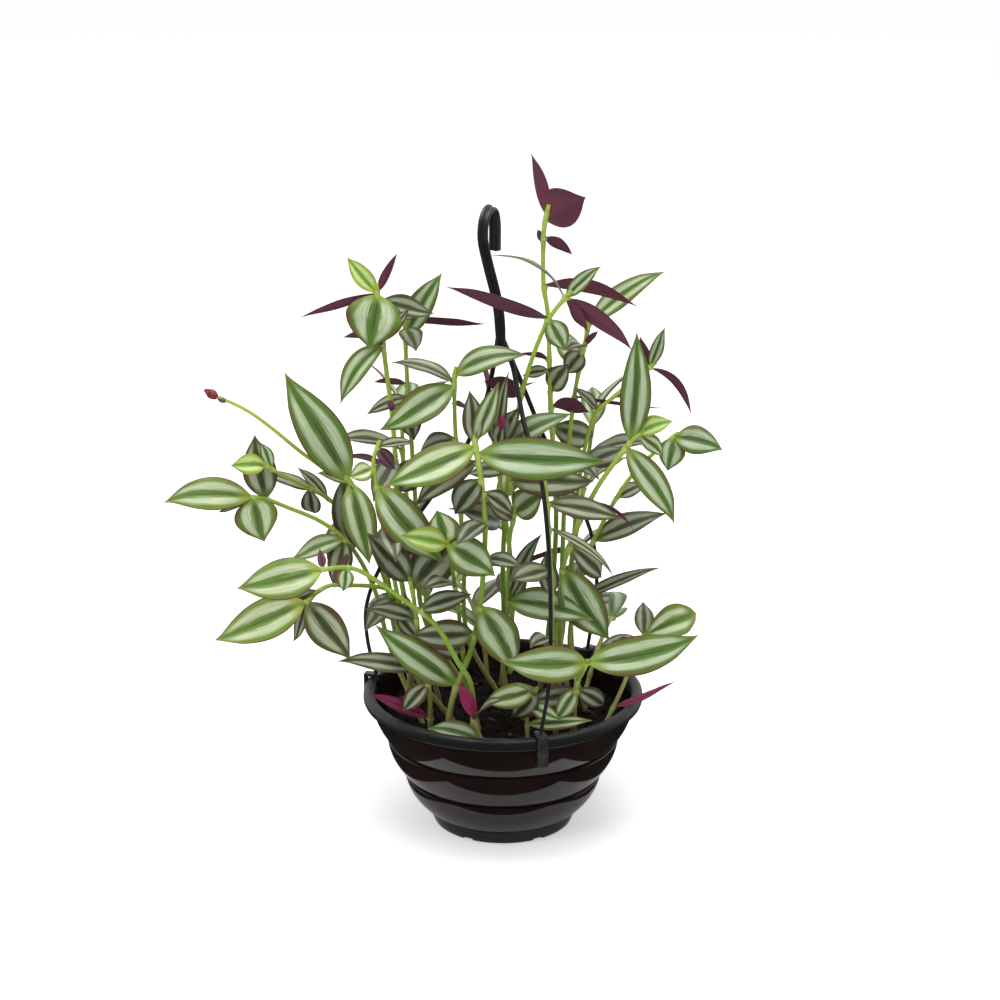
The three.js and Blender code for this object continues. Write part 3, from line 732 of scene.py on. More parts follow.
# The colours are those of the centre, margin, silver, rib, edge, base, tip and underside.
LEAF_FINISHES = {
    Tone.STRIPED: LeafFinish(
        "leaf_striped", "leaf_striped",
        (0.09, 0.19, 0.02), (0.115, 0.215, 0.025), (0.53, 0.6, 0.4), (0.07, 0.05, 0.05),
        (0.15, 0.04, 0.025), (0.26, 0.38, 0.05), (0.3, 0.18, 0.05), (0.2, 0.085, 0.1),
    ),
    # leaf_shaded is leaf_striped made darker with dimmer silver: partly older leaves, partly painted shade.
    Tone.SHADED: LeafFinish(
        "leaf_shaded", "leaf_striped",
        (0.06, 0.08, 0.02), (0.07, 0.085, 0.022), (0.36, 0.4, 0.28), (0.045, 0.03, 0.032),
        (0.12, 0.03, 0.028), (0.14, 0.19, 0.045), (0.2, 0.07, 0.04), (0.13, 0.035, 0.06),
    ),
    Tone.BURGUNDY: LeafFinish(
        "leaf_burgundy", "leaf_purple",
        (0.1, 0.038, 0.052), (0.115, 0.034, 0.052), (0.17, 0.085, 0.1), (0.07, 0.02, 0.035),
        (0.14, 0.03, 0.04), (0.15, 0.09, 0.045), (0.14, 0.03, 0.04), (0.125, 0.034, 0.06),
    ),
    Tone.CRIMSON: LeafFinish(
        "leaf_crimson", "leaf_purple",
        (0.22, 0.018, 0.08), (0.18, 0.014, 0.06), (0.3, 0.03, 0.12), (0.15, 0.01, 0.05),
        (0.19, 0.025, 0.075), (0.2, 0.06, 0.06), (0.22, 0.05, 0.07), (0.24, 0.014, 0.085),
        gloss=0.5,
    ),
    Tone.YOUNG: LeafFinish(
        "leaf_young", "leaf_young",
        (0.17, 0.35, 0.025), (0.28, 0.44, 0.035), (0.56, 0.66, 0.28), (0.16, 0.25, 0.035),
        (0.3, 0.17, 0.045), (0.42, 0.55, 0.03), (0.38, 0.32, 0.06), (0.34, 0.39, 0.09),
        gloss=0.35,
    ),
    Tone.PALE: LeafFinish(
        "leaf_pale", "leaf_young",
        (0.13, 0.24, 0.035), (0.17, 0.28, 0.04), (0.56, 0.63, 0.41), (0.1, 0.09, 0.045),
        (0.17, 0.055, 0.035), (0.36, 0.45, 0.05), (0.32, 0.2, 0.06), (0.22, 0.1, 0.1),
    ),
}


# ---------------------------------------------------------------- the plant


@dataclass
class Leaf:
    """One leaf, as its row states it, in millimetres and degrees."""

    share: float
    heading: float
    pitch: float
    length: float
    width: float
    lean: float
    arch: float
    tone: Tone
    seed: int
    roundness: float = 0.78
    point: float = 1.08
    thickness: float = 0.42
    # The most that its own chance may turn it, in degrees, and ripple, sway and hook it, as shares.
    twisting: float = 16.0
    rippling: float = 0.028
    swaying: float = 0.035
    hooking: float = 0.05

    def directions(self) -> tuple[np.ndarray, np.ndarray, np.ndarray]:
        """The leaf's own directions: along its midrib, out of its face and across it."""
        heading, pitch, lean = (math.radians(angle) for angle in (self.heading, self.pitch, self.lean))
        flat = math.cos(pitch)
        ahead = np.array([flat * math.sin(heading), -flat * math.cos(heading), math.sin(pitch)])
        face = np.array([0.0, -math.sin(lean), math.cos(lean)])
        face = face - ahead * face.dot(ahead)
        face = face / np.linalg.norm(face)
        return ahead, face, np.cross(ahead, face)

    def outline(self, along: np.ndarray) -> np.ndarray:
        """Half the width at these shares of the length, drawn in over the last of the tip."""
        ridge = self.roundness / (self.roundness + self.point)
        peak = ridge**self.roundness * (1 - ridge) ** self.point
        shape = along**self.roundness * (1 - along) ** self.point / peak
        shape = shape * (1 - 0.22 * np.clip((along - 0.78) / 0.22, 0, 1))
        return np.maximum(self.width * 0.53 * shape, 0.12 + 1.1 * (1 - along) ** 6)

    def bend(
        self, blade: Pattern, base: np.ndarray
    ) -> tuple[np.ndarray, np.ndarray, dict[str, object]]:
        """Bend the flat blade to this leaf's shape.

        Args:
            blade: the flat pattern.
            base: where the leaf leaves its stem.

        Returns:
            The vertices, a UV pair for each, and their named numbers.
        """
        chance = np.random.default_rng(self.seed)
        twist, sickle, droop, ripple, phase, curl, luck, crease, hook = chance.uniform(-1, 1, 9)
        across = blade.vertices[:, 0]
        along = (blade.vertices[:, 1] + 1) / 2
        below = (blade.vertices[:, 2] < -0.05).astype(float)
        hump = 4 * along * (1 - along)
        half = self.outline(along)
        bow = self.arch / 100 * self.length * hump
        bow = bow - (0.005 + 0.03 * droop) * self.length * np.clip(along - 0.5, 0, 1) ** 2 * 4
        gutter = (0.5 + 0.16 * crease) * (1 - 0.3 * along)
        rise = half * (gutter * np.abs(across) ** 1.2 - (0.24 + 0.1 * curl) * np.abs(across) ** 3)
        rise = rise - 0.3 * np.exp(-((across / 0.09) ** 2)) * (1 - along)
        waves = np.sin(2 * math.pi * (1.6 + 0.7 * ripple) * along + 3 * phase + (across > 0) * 1.7)
        rise = rise + waves * self.rippling * self.width * across**2 * np.clip(2 * hump, 0, 1)
        turn = math.radians(self.twisting) * twist * (along - 0.2)
        span = across * half
        fine = 0.4 + 0.6 * np.clip(6 * (1 - along), 0, 1)
        thick = self.thickness * (1 - 0.6 * np.abs(across)) * fine
        out = span * np.sin(turn) + rise * np.cos(turn) + bow - below * thick
        sway = sickle * self.swaying * self.length * hump
        wide = span * np.cos(turn) - rise * np.sin(turn) + sway
        wide = wide + hook * self.hooking * self.length * np.clip(along - 0.7, 0, 1) ** 2 * 11
        ahead, face, side = self.directions()
        places = base + np.outer(self.length * along, ahead) + np.outer(out, face) + np.outer(wide, side)
        chart = np.stack([(across + 1) / 2, along], -1)
        return places, chart, {"underside": below, "luck": luck * 0.5 + 0.5}


@dataclass
class Shoot:
    """One shoot: a jointed stem with a sheath under every leaf, and its leaves."""

    name: str
    radius: float
    route: list[Point]
    rows: list[list]
    number: int
    stalk: list[Point]
    # Bare joints near the foot, how far a joint's swelling spreads in millimetres, and how thick it is.
    bare_joints: tuple[float, ...] = (0.12, 0.24)
    joint_spread: float = 2.2
    swelling: float = 0.24
    stalk_radius: float = 1.3

    def leaves(self) -> list[tuple[Leaf, bool]]:
        """The leaves in order, each with whether it is a CAD node of its own."""
        found = []
        for index, row in enumerate(self.rows):
            leaf = Leaf(*row[:7], Tone(row[7][0]), self.number * 100 + index)
            if "o" in row[7]:
                leaf.roundness, leaf.point = SPOON
            found.append((leaf, row[7].endswith("*")))
        return found

    def girth(self, share: float | np.ndarray) -> float | np.ndarray:
        """The stem's plain radius at a share of its length: thinner upwards."""
        return self.radius * (1.12 - 0.3 * share)

    def build_stem(self, tube: Pattern, collar: Pattern, material: bpy.types.Material) -> bpy.types.Object:
        """Make the stem, swollen at its joints, with its sheaths.

        Args:
            tube: the straight pattern for the stem.
            collar: the straight pattern for a sheath.
            material: the stem's finish.

        Returns:
            The stem.
        """
        route = Route(self.route)
        harvest = Harvest()
        shares = {round(min(leaf.share, LAST_JOINT), 3) for leaf, _ in self.leaves()}
        joints = np.array(sorted(shares.union(self.bare_joints)))
        spread = self.joint_spread / route.length

        def near(shares: np.ndarray, below: float, reach: float) -> np.ndarray:
            """How near each share is to a joint, from 0 to 1."""
            away = shares[:, None] - joints[None, :] + below
            return np.exp(-((away / reach) ** 2)).max(axis=1)

        def swollen(shares: np.ndarray, angles: np.ndarray) -> np.ndarray:
            """The stem's radius: a little ridged, and swollen at each joint."""
            swell = 1 + self.swelling * near(shares, 0.0, spread)
            return self.girth(shares) * swell + 0.03 * np.sin(5 * angles)

        flushed = near(tube.vertices[:, 2] + 0.5, spread * 0.4, spread * 0.6)
        harvest.add(tube, *tube.follow(route, swollen), collar=0.0, joint=flushed)
        for leaf, _ in self.leaves():
            self._add_sheath(harvest, collar, route, leaf)
        if self.stalk:
            bent = tube.follow(Route(self.stalk), lambda shares, angles: self.stalk_radius - 0.3 * shares)
            harvest.add(tube, *bent, collar=0.0, joint=0.0)
        return harvest.build("stem_" + self.name, material)

    def _add_sheath(self, harvest: Harvest, collar: Pattern, route: Route, leaf: Leaf) -> None:
        """Wrap one leaf's sheath round the stem just below the blade, a little open at its mouth."""
        top = min(leaf.share, LAST_JOINT)
        low = max(top - min(8.0, leaf.length * 0.22) / route.length, 0.0)
        stretch = Route([route.at(low + (top - low) * part) for part in (0.0, 0.33, 0.67, 1.0)])
        places, chart = collar.follow(
            stretch, lambda shares, angles: self.girth(top) * (1.06 + 0.3 * shares**1.5)
        )
        ahead, _, _ = leaf.directions()
        lift = collar.vertices[:, 2] + 0.5
        lean = np.clip((places - stretch.at(1.0)) @ ahead, 0, 2)
        places = places + np.outer(lift**3 * lean * 0.7, ahead)
        harvest.add(collar, places, chart, collar=lift, joint=0.0)

    def build_leaves(self, blade: Pattern, finishes: dict[Tone, bpy.types.Material]) -> None:
        """Make the blades: one piece of those joined to the stem, and one for each node of its own.

        Args:
            blade: the flat pattern.
            finishes: the leaf materials by tone.
        """
        route = Route(self.route)
        joined = Harvest()
        tones: list[Tone] = []
        for index, (leaf, alone) in enumerate(self.leaves()):
            ahead, _, _ = leaf.directions()
            places, chart, traits = leaf.bend(blade, route.at(min(leaf.share, LAST_BLADE)) + ahead * 0.8)
            if alone:
                single = Harvest()
                single.add(blade, places, chart, **traits)
                piece = single.build(f"blade_{self.name}_{index}", finishes[leaf.tone])
                present(piece, LEAF_FINISHES[leaf.tone].slot, f"leaf_{self.name}_{index}")
                continue
            if leaf.tone not in tones:
                tones.append(leaf.tone)
            joined.add(blade, places, chart, tones.index(leaf.tone), **traits)
        if joined.count:
            piece = joined.build("foliage_" + self.name, *(finishes[tone] for tone in tones))
            present(piece, "shoot_green", "shoot_" + self.name)


# Each shoot is [name, stem radius, route from below the soil to the tip, leaves]. Each leaf is
# [share of the stem's length, heading, pitch, length, width, lean, arch in hundredths, tone].
# A heading is measured from the display side towards +X. The lean tips a leaf's face from the sky to
# the display side. A tone has an o if the leaf is spoon-shaped, and ends in * if the leaf stands for
# a CAD node of its own.
SHOOTS = [
  ["left_low", 1.6, [[-20, -62, 62], [-19, -64, 112], [-28, -66, 133], [-41, -67, 157],
    [-60, -67, 173], [-82, -66, 189], [-95, -66, 194], [-113, -66, 192]], [
    [1, -80, -10, 52, 24, 62, 1, "L*"], [1, -150, 72, 12, 5, 60, 5, "P"],
    [0.62, 98, 15, 33, 13, 50, 8, "D"], [0.9, -25, -70, 14, 10, 60, 5, "G"]]],
  ["left_hook", 1.5, [[-38, 8, 62], [-50, -5, 117], [-62, -20, 148], [-72, -30, 167],
    [-98, -42, 174], [-110, -46, 174], [-124, -51, 164]], [
    [1, -80, -22, 60, 24, 65, -6, "L*"], [1, -130, -70, 31, 7, 60, 5, "D"],
    [1, 72, -48, 44, 22, 75, 6, "D*"], [0.92, -105, -30, 35, 11, 60, 8, "D"],
    [0.84, 15, 50, 37, 12, 30, 6, "G"], [0.6, -40, -25, 32, 14, 30, 8, "D"],
    [0.42, -100, 75, 26, 8, 60, 5, "D"]]],
  ["left_far", 1.5, [[-46, -26, 62], [-71, -14, 120], [-81, -12, 160], [-96, -12, 190],
    [-113, -12, 205], [-133, -14, 215], [-149, -16, 222], [-160, -16, 223]], [
    [1, -85, 0, 54, 20, 60, 18, "L*"], [0.98, -85, -25, 23, 6, 40, 5, "D"],
    [0.98, 30, -62, 28, 26, 80, 6, "G*"], [0.94, -135, 75, 40, 20, 60, 6, "D"],
    [0.68, -75, -20, 35, 13, 45, 8, "L"], [0.68, -30, -65, 31, 15, 70, 5, "D"]]],
  ["left_up", 1.4, [[-45, 24, 62], [-69, 34, 109], [-77, 34, 151], [-92, 32, 186],
    [-112, 14, 213], [-130, -6, 230], [-143, -22, 243], [-149, -26, 249]], [
    [1, -80, 3, 21, 13, 60, 12, "Y"], [0.78, -105, 15, 36, 10, 30, 8, "D"],
    [0.72, -100, 45, 27, 8, 30, 5, "D"], [0.8, 180, -45, 36, 12, 70, 4, "D"],
    [0.96, -120, 65, 17, 8, 40, 4, "G"], [0.6, -30, -25, 36, 16, 30, 8, "D"]]],
  ["left_big", 1.7, [[-54, 16, 62], [-63, 10, 104], [-71, 4, 148], [-79, -2, 190],
    [-95, -4, 228], [-103, -4, 233]], [
    [0.96, -80, 60, 79, 27, 60, 4, "G*"], [0.95, 35, -66, 52, 20, 65, 6, "G"],
    [0.98, 150, -80, 52, 17, 75, 6, "D"], [0.95, -90, 18, 21, 7, 60, 4, "G"],
    [0.62, 135, 5, 39, 16, 50, 8, "D"], [0.44, -150, -10, 36, 16, 50, 8, "D"]]],
  ["centre_left", 1.5, [[-22, -22, 62], [-60, -36, 122], [-65, -40, 164], [-72, -42, 203],
    [-77, -42, 238], [-79, -40, 253], [-75, -38, 266]], [
    [0.87, 70, -46, 62, 24, 75, 8, "G*"], [0.98, 80, -53, 17, 9, 50, 5, "P"],
    [0.98, 100, 5, 22, 8, 30, 5, "D"],
    [0.75, 20, -25, 31, 14, 30, 8, "D"], [0.92, -75, -18, 15, 12, 60, 10, "L"]]],
  ["upleft_a", 1.7, [[-62, 2, 62], [-59, -8, 125], [-66, -4, 177], [-67, 0, 229],
    [-69, 4, 267], [-74, 8, 311], [-78, 8, 353]], [
    [0.99, -35, -72, 34, 34, 75, 6, "G*"], [1, -105, 49, 28, 11, 60, 4, "Y"],
    [1, -94, -17, 50, 7, -50, 1, "P"], [1, 90, 64, 27, 6, -40, 4, "P"],
    [0.88, -102, 0, 25, 7, -50, 5, "P"], [0.87, -68, -52, 45, 16, 35, 16, "G"],
    [0.96, 112, -18, 37, 14, 50, 8, "D"], [0.88, 62, 47, 28, 9, 55, 5, "D"],
    [0.55, 110, 50, 27, 18, 60, 8, "D"], [0.62, -25, -30, 36, 16, 30, 8, "D"]]],
  ["upleft_b", 1.6, [[-15, 30, 62], [-51, 32, 124], [-55, 36, 177], [-58, 38, 231],
    [-61, 40, 283], [-62, 40, 316], [-62, 40, 328]], [
    [0.94, 100, 60, 46, 16, 60, 5, "G"], [0.98, 99, -5, 51, 7, -50, -2, "P"],
    [0.96, 15, -10, 34, 14, 30, 4, "D"], [0.83, -105, 0, 22, 7, -50, 5, "P"],
    [0.78, 30, -72, 22, 14, 70, 5, "D"], [0.62, -18, -10, 32, 18, 30, 8, "D"],
    [0.5, 15, -10, 37, 16, 30, 8, "D"], [0.8, -85, -22, 28, 10, 40, 8, "D"]]],
  ["upmid", 1.5, [[8, 12, 62], [-22, 6, 120], [-25, 4, 175], [-28, 2, 229],
    [-30, 0, 268], [-30, -2, 296], [-29, -2, 303]], [
    [0.96, -99, 15, 41, 13, 20, 14, "D"], [0.95, -75, -30, 53, 21, 60, 8, "G*"],
    [0.98, 85, 16, 46, 17, 50, 22, "G*"], [0.81, -140, -25, 39, 14, 60, 8, "D"],
    [0.62, 145, -25, 49, 18, 60, 8, "D"]]],
  ["main_front", 1.8, [[-36, -44, 62], [-32, -48, 99], [-20, -50, 134], [-14, -52, 166],
    [-11, -52, 207], [-12, -52, 234], [-15, -50, 256], [-18, -47, 273]], [
    [0.96, -78, -20, 59, 23, 60, 8, "G*"], [0.92, -99, -37, 48, 16, 50, 8, "D"],
    [0.94, 82, 0, 78, 25, 65, 4, "G*"], [0.87, -107, -55, 29, 17, 60, 8, "D"],
    [0.97, -140, 82, 32, 13, 80, 5, "D"], [0.99, 98, 68, 38, 12, 78, 5, "G"],
    [0.49, 70, -59, 45, 24, 78, 6, "G*"], [0.4, -84, 2, 39, 18, 60, 8, "D"],
    [0.83, 114, -40, 26, 13, 45, 8, "D"], [0.23, -82, 39, 65, 20, 60, 8, "G*"],
    [0.74, -30, -10, 33, 14, 30, 8, "D"], [0.63, 45, 5, 31, 12, 40, 8, "D"]]],
  ["centre_low", 1.4, [[-12, -34, 62], [-23, -37, 109], [-27, -42, 151], [-31, -50, 187],
    [-34, -60, 209]], [
    [0.98, -70, 16, 31, 15, 60, 8, "Y"], [1, -90, 75, 22, 20, 60, 5, "G"],
    [0.98, 71, -27, 34, 22, 70, 12, "G*"], [0.76, -25, 15, 43, 16, 30, 8, "D"],
    [0.46, -80, 5, 20, 16, 40, 8, "D"]]],
  ["low_left", 1.5, [[-46, -36, 62], [-46, -48, 107], [-51, -50, 134], [-55, -48, 167],
    [-58, -46, 182]], [
    [0.93, 118, 42, 46, 25, 75, 8, "D"], [0.66, -105, 50, 24, 10, 50, 5, "D"],
    [0.5, -85, 10, 54, 13, 40, 8, "D"], [0.97, -75, 50, 42, 18, 60, 6, "D"],
    [0.77, -100, 10, 32, 12, 40, 8, "D"], [0.2, -75, 29, 43, 8, 60, -4, "M"],
    [0.42, -85, -50, 24, 12, 60, 5, "D"]]],
  ["centre_top", 1.5, [[20, -14, 62], [1, -26, 105], [3, -26, 159], [4, -24, 197],
    [7, -22, 215], [4, -20, 236], [-2, -22, 251], [-4, -22, 262]], [
    [0.76, 76, 38, 22, 19, 60, 5, "G"], [0.74, -83, 44, 23, 12, 50, 5, "D"],
    [0.49, 80, 66, 50, 11, 30, 5, "D"], [0.86, 88, -1, 51, 20, 55, 8, "D"],
    [0.49, 66, -4, 57, 20, 60, 8, "G*"], [0.96, 95, 27, 50, 17, 40, 8, "G"],
    [0.98, 135, 80, 23, 15, 60, 5, "D"], [0.98, 99, 62, 27, 12, 50, 5, "D"],
    [0.98, 28, 68, 18, 11, 30, 5, "D"], [0.98, 110, 82, 46, 8, 40, 5, "D"]]],
  ["top_high", 1.6, [[22, 30, 62], [29, 22, 114], [34, 20, 196], [30, 18, 273],
    [28, 16, 329], [25, 16, 352], [25, 14, 385], [28, 14, 401]], [
    [1, -104, 76, 38, 8, -60, 4, "P*"], [0.97, 85, 32, 28, 26, -80, 4, "P*"],
    [0.94, 84, -29, 20, 8, -60, 5, "P"], [0.93, -120, 60, 8, 5, -60, 4, "P"],
    [0.85, 88, -13, 59, 13, -50, 8, "P*"], [0.71, -96, 9, 19, 8, -40, 5, "P"],
    [0.65, 61, 56, 22, 15, 50, 5, "D"], [0.69, -100, -15, 17, 8, 50, 5, "D"],
    [0.62, 88, -8, 24, 14, -50, 6, "P"], [0.58, 145, -20, 50, 18, 75, 8, "D"],
    [0.46, -35, 5, 41, 16, 30, 8, "D"]]],
  ["top_mid", 1.6, [[-2, 42, 62], [1, 32, 110], [0, 22, 169], [4, 10, 233],
    [12, 0, 287], [26, -16, 333], [41, -26, 356]], [
    [1, -90, 28, 52, 6, 10, 18, "D"], [1, 90, 44, 28, 9, 65, 4, "G"],
    [1, 80, -34, 50, 11, -70, 6, "P"], [0.92, -90, 19, 64, 10, -60, -4, "P*"],
    [0.92, 68, -59, 21, 14, 60, 5, "G"], [0.73, -98, 22, 24, 15, -60, 5, "P"],
    [0.63, 150, -25, 44, 16, 60, 8, "D"], [0.45, -25, 30, 45, 16, 30, 8, "D"],
    [0.56, -135, -15, 37, 14, 50, 8, "D"], [0.99, 75, -55, 24, 6, -60, 4, "P"]]],
  ["top_right", 1.6, [[46, 12, 62], [37, 10, 118], [38, 14, 171], [40, 20, 223],
    [45, 26, 276], [53, 32, 317], [53, 32, 326]], [
    [0.98, 90, 37, 58, 15, 40, 6, "G"], [0.97, -90, 60, 23, 9, -60, 5, "P"],
    [0.93, -25, 10, 31, 12, 30, 8, "D"], [0.93, 75, 50, 13, 5, -40, 4, "P"],
    [0.88, -150, 35, 33, 14, 70, 5, "G"], [0.92, -74, -50, 18, 14, 60, 6, "D"],
    [0.81, 92, -8, 60, 5, -40, -4, "P"], [0.66, 35, -10, 33, 14, 30, 8, "D"]]],
  ["right_top", 1.4, [[52, 26, 62], [45, 28, 111], [45, 28, 167], [49, 28, 221],
    [57, 24, 262], [71, 20, 279], [88, 18, 294], [96, 18, 301]], [
    [0.98, -90, 70, 20, 6, -40, 5, "P"], [1, 90, 73, 26, 8, 75, 4, "G"],
    [1, 82, -48, 39, 7, -40, 22, "P*"], [0.81, -75, 45, 22, 10, 30, 5, "D"],
    [0.87, 100, -20, 23, 8, 30, 5, "D"], [0.66, 130, 5, 36, 14, 60, 8, "D"]]],
  ["right_up", 1.7, [[40, -20, 62], [33, -30, 127], [35, -32, 161], [39, -35, 191],
    [56, -35, 232], [77, -35, 263], [86, -35, 272]], [
    [0.95, 135, 87, 67, 18, 60, 4, "G*"], [0.93, 72, -53, 54, 17, 75, 8, "G*"],
    [1, 80, 22, 22, 12, 50, 12, "Y"], [1, 80, -40, 20, 10, 60, 14, "G"],
    [0.75, 75, -29, 32, 5, -40, 8, "P"], [0.54, 80, -56, 53, 25, 80, 8, "G*"],
    [0.69, -155, 20, 32, 14, 60, 8, "D"], [0.61, 145, -40, 48, 16, 60, 8, "D"]]],
  ["right_far", 1.5, [[57, -5, 62], [43, -8, 118], [46, -6, 151], [51, -4, 177],
    [58, -2, 191], [69, 0, 213], [82, 2, 233], [96, 4, 247], [110, 4, 259]], [
    [1, 77, -10, 31, 18, 55, 12, "G*"], [0.98, -28, -65, 21, 16, 70, 8, "G"],
    [0.6, 82, 24, 49, 16, 45, 6, "D"], [0.41, 86, 25, 59, 9, 30, 6, "D"],
    [0.74, 110, 20, 20, 10, 40, 5, "D"], [0.42, 140, -15, 38, 14, 50, 8, "D"]]],
  ["right_mid", 1.6, [[34, -40, 62], [30, -50, 128], [30, -52, 168], [28, -50, 206],
    [27, -42, 226], [24, -34, 246]], [
    [0.89, 85, -10, 46, 14, 50, 8, "D"], [0.81, 79, -33, 49, 6, 40, 14, "D"],
    [0.97, -75, 50, 25, 14, 30, 5, "D"], [0.58, -150, 75, 27, 12, 60, 5, "D"],
    [0.67, -60, -5, 29, 16, 30, 8, "D"], [0.43, -25, 10, 35, 14, 30, 8, "D"]]],
  ["right_low", 1.4, [[58, -36, 62], [75, -24, 97], [81, -18, 111], [87, -14, 124],
    [91, -12, 131]], [
    [0.97, 180, 35, 26, 12, 70, 5, "D"], [1, 85, 25, 35, 20, 55, 8, "Go*"],
    [0.36, 78, 30, 44, 7, 20, -4, "M"], [0.81, -150, 0, 28, 12, 60, 5, "D"]]],
  ["right_front", 1.6, [[44, -44, 62], [45, -58, 111], [49, -64, 125], [52, -66, 134]], [
    [0.97, 85, 15, 70, 23, 60, -2, "G*"], [0.97, -61, 10, 60, 22, 76, 3, "L*"],
    [0.67, 140, -35, 36, 12, 70, 5, "D"], [0.78, -165, 5, 37, 16, 70, 5, "G"],
    [0.67, -60, -50, 22, 12, 60, 5, "G"]]],
  ["front_mid", 1.3, [[16, -58, 62], [15, -62, 98], [18, -63, 106], [21, -64, 115]], [
    [1, -97, -17, 34, 15, 70, 5, "G"], [0.98, -107, -54, 26, 15, 70, 5, "D"],
    [0.89, -20, 30, 35, 12, 30, 5, "G"], [0.75, 70, -20, 22, 10, 50, 5, "G"],
    [0.83, 130, -5, 37, 14, 70, 5, "D"], [0.5, 82, 8, 40, 9, 60, 4, "G"]]],
  ["front_left", 1.4, [[-8, -66, 62], [-16, -68, 90], [-18, -70, 97]], [
    [0.55, -97, 12, 33, 13, 45, 8, "G"], [0.45, 88, -6, 28, 8, 60, 10, "M"],
    [1, -70, 68, 26, 9, -60, 5, "M"], [1, 30, 35, 41, 14, 30, 5, "D"]]],
  ["back_left", 1.6, [[-38, 38, 62], [-52, 52, 140], [-64, 62, 205], [-66, 70, 262]], [
    [0.35, 200, 15, 54, 20, -30, 8, "D"], [0.48, 265, 10, 56, 21, -10, 8, "G"],
    [0.6, 150, 15, 50, 18, -40, 8, "D"], [0.72, 230, 10, 58, 22, -30, 10, "G"],
    [0.84, 300, 15, 50, 17, 20, 8, "D"], [0.93, 175, 20, 48, 17, -40, 8, "G"],
    [1, 240, 45, 40, 14, -20, 6, "G"], [1, 70, 30, 40, 14, 10, 6, "D"]]],
  ["back_mid", 1.6, [[4, 56, 62], [6, 68, 140], [-2, 80, 205], [-10, 86, 256]], [
    [0.3, 180, 10, 54, 20, -40, 8, "D"], [0.42, 120, 5, 56, 20, -30, 8, "D"],
    [0.55, 235, 10, 52, 20, -30, 8, "G"], [0.66, 160, 15, 56, 21, -40, 10, "G"],
    [0.78, 80, 10, 48, 17, -10, 8, "D"], [0.88, 215, 15, 52, 18, -40, 8, "G"],
    [0.96, 130, 20, 44, 15, -30, 8, "P"], [1, 200, 60, 36, 13, -30, 4, "P"]]],
  ["back_right", 1.6, [[34, 44, 62], [44, 66, 140], [54, 76, 205], [60, 72, 255]], [
    [0.35, 160, 10, 54, 20, -30, 8, "D"], [0.5, 110, 20, 52, 19, -20, 8, "G"],
    [0.6, 205, 15, 50, 18, -40, 8, "D"], [0.72, 135, 10, 58, 22, -30, 10, "G"],
    [0.84, 70, 15, 50, 17, 20, 8, "D"], [0.94, 180, 20, 46, 16, -40, 8, "G"],
    [1, 110, 45, 38, 14, -10, 6, "G"]]],
  ["back_trail", 1.5, [[-10, 64, 62], [-14, 76, 98], [-26, 98, 120], [-40, 134, 116]], [
    [0.35, 225, 10, 48, 19, -20, 8, "G"], [0.5, 150, 10, 52, 20, -20, 8, "D"],
    [0.65, 240, 5, 54, 22, -15, 10, "G"], [0.8, 165, 5, 50, 19, -25, 8, "G"],
    [0.95, 205, -10, 50, 20, -30, 8, "G"], [1, 130, 5, 38, 14, -20, 8, "Y"]]],
  ["right_trail", 1.5, [[52, 34, 62], [62, 52, 92], [72, 74, 108], [76, 98, 100]], [
    [0.45, 100, 0, 38, 16, 10, 8, "D"], [0.75, 180, 0, 50, 20, -20, 10, "G"],
    [0.9, 215, 5, 44, 17, -30, 8, "G"], [1, 175, -15, 46, 18, -20, 8, "G"]]],
]

# The dead flower stalk grows from near the tip of one shoot.
STALK_SHOOT = "left_big"
STALK_ROUTE = [
    (-99, -4, 229), (-110, -5, 237), (-126, -8, 250), (-143, -11, 266), (-158, -13, 278), (-175, -14, 287),
]


@dataclass
class Plant:
    """The whole plant: every shoot with its leaves."""

    stem_finish: StemFinish = StemFinish()

    def build(self, mottle: bpy.types.NodeTree, bands: bpy.types.NodeTree) -> None:
        """Make every stem and leaf.

        Args:
            mottle: the group that stains and grains the stems.
            bands: the group that draws the stripes of a leaf.
        """
        tube, collar, blade = Pattern.tube(10, 56), Pattern.tube(12, 5), Pattern.blade()
        flesh = self.stem_finish.build(mottle)
        finishes = {tone: finish.build(bands) for tone, finish in LEAF_FINISHES.items()}
        for number, (name, radius, route, rows) in enumerate(SHOOTS):
            stalk = STALK_ROUTE if name == STALK_SHOOT else []
            shoot = Shoot(name, radius, route, rows, number, stalk)
            present(shoot.build_stem(tube, collar, flesh), "shoot_green", "shoot_" + name)
            shoot.build_leaves(blade, finishes)


def petal_blade(length: float, width: float, thickness: float) -> bpy.types.Object:
    """A small cupped pointed scale that stands on the origin and opens upwards.

    Args:
        length: its length in metres.
        width: its greatest width in metres.
        thickness: its thickness in metres.

    Returns:
        The scale.
    """
    scale = primitive(bpy.ops.mesh.primitive_grid_add, x_subdivisions=6, y_subdivisions=8, size=2)
    for vertex in scale.data.vertices:
        across, along = vertex.co.x, (vertex.co.y + 1) / 2
        half = width / 2 * max(math.sin(math.pi * along**0.75) ** 0.8, 0.06)
        cup = 0.55 * width * (1 - across**2) * math.sin(math.pi * (0.15 + 0.8 * along))
        vertex.co = (across * half, -cup, along * length)
    apply_modifier(scale, "SOLIDIFY", thickness=thickness, offset=0.0)
    return scale


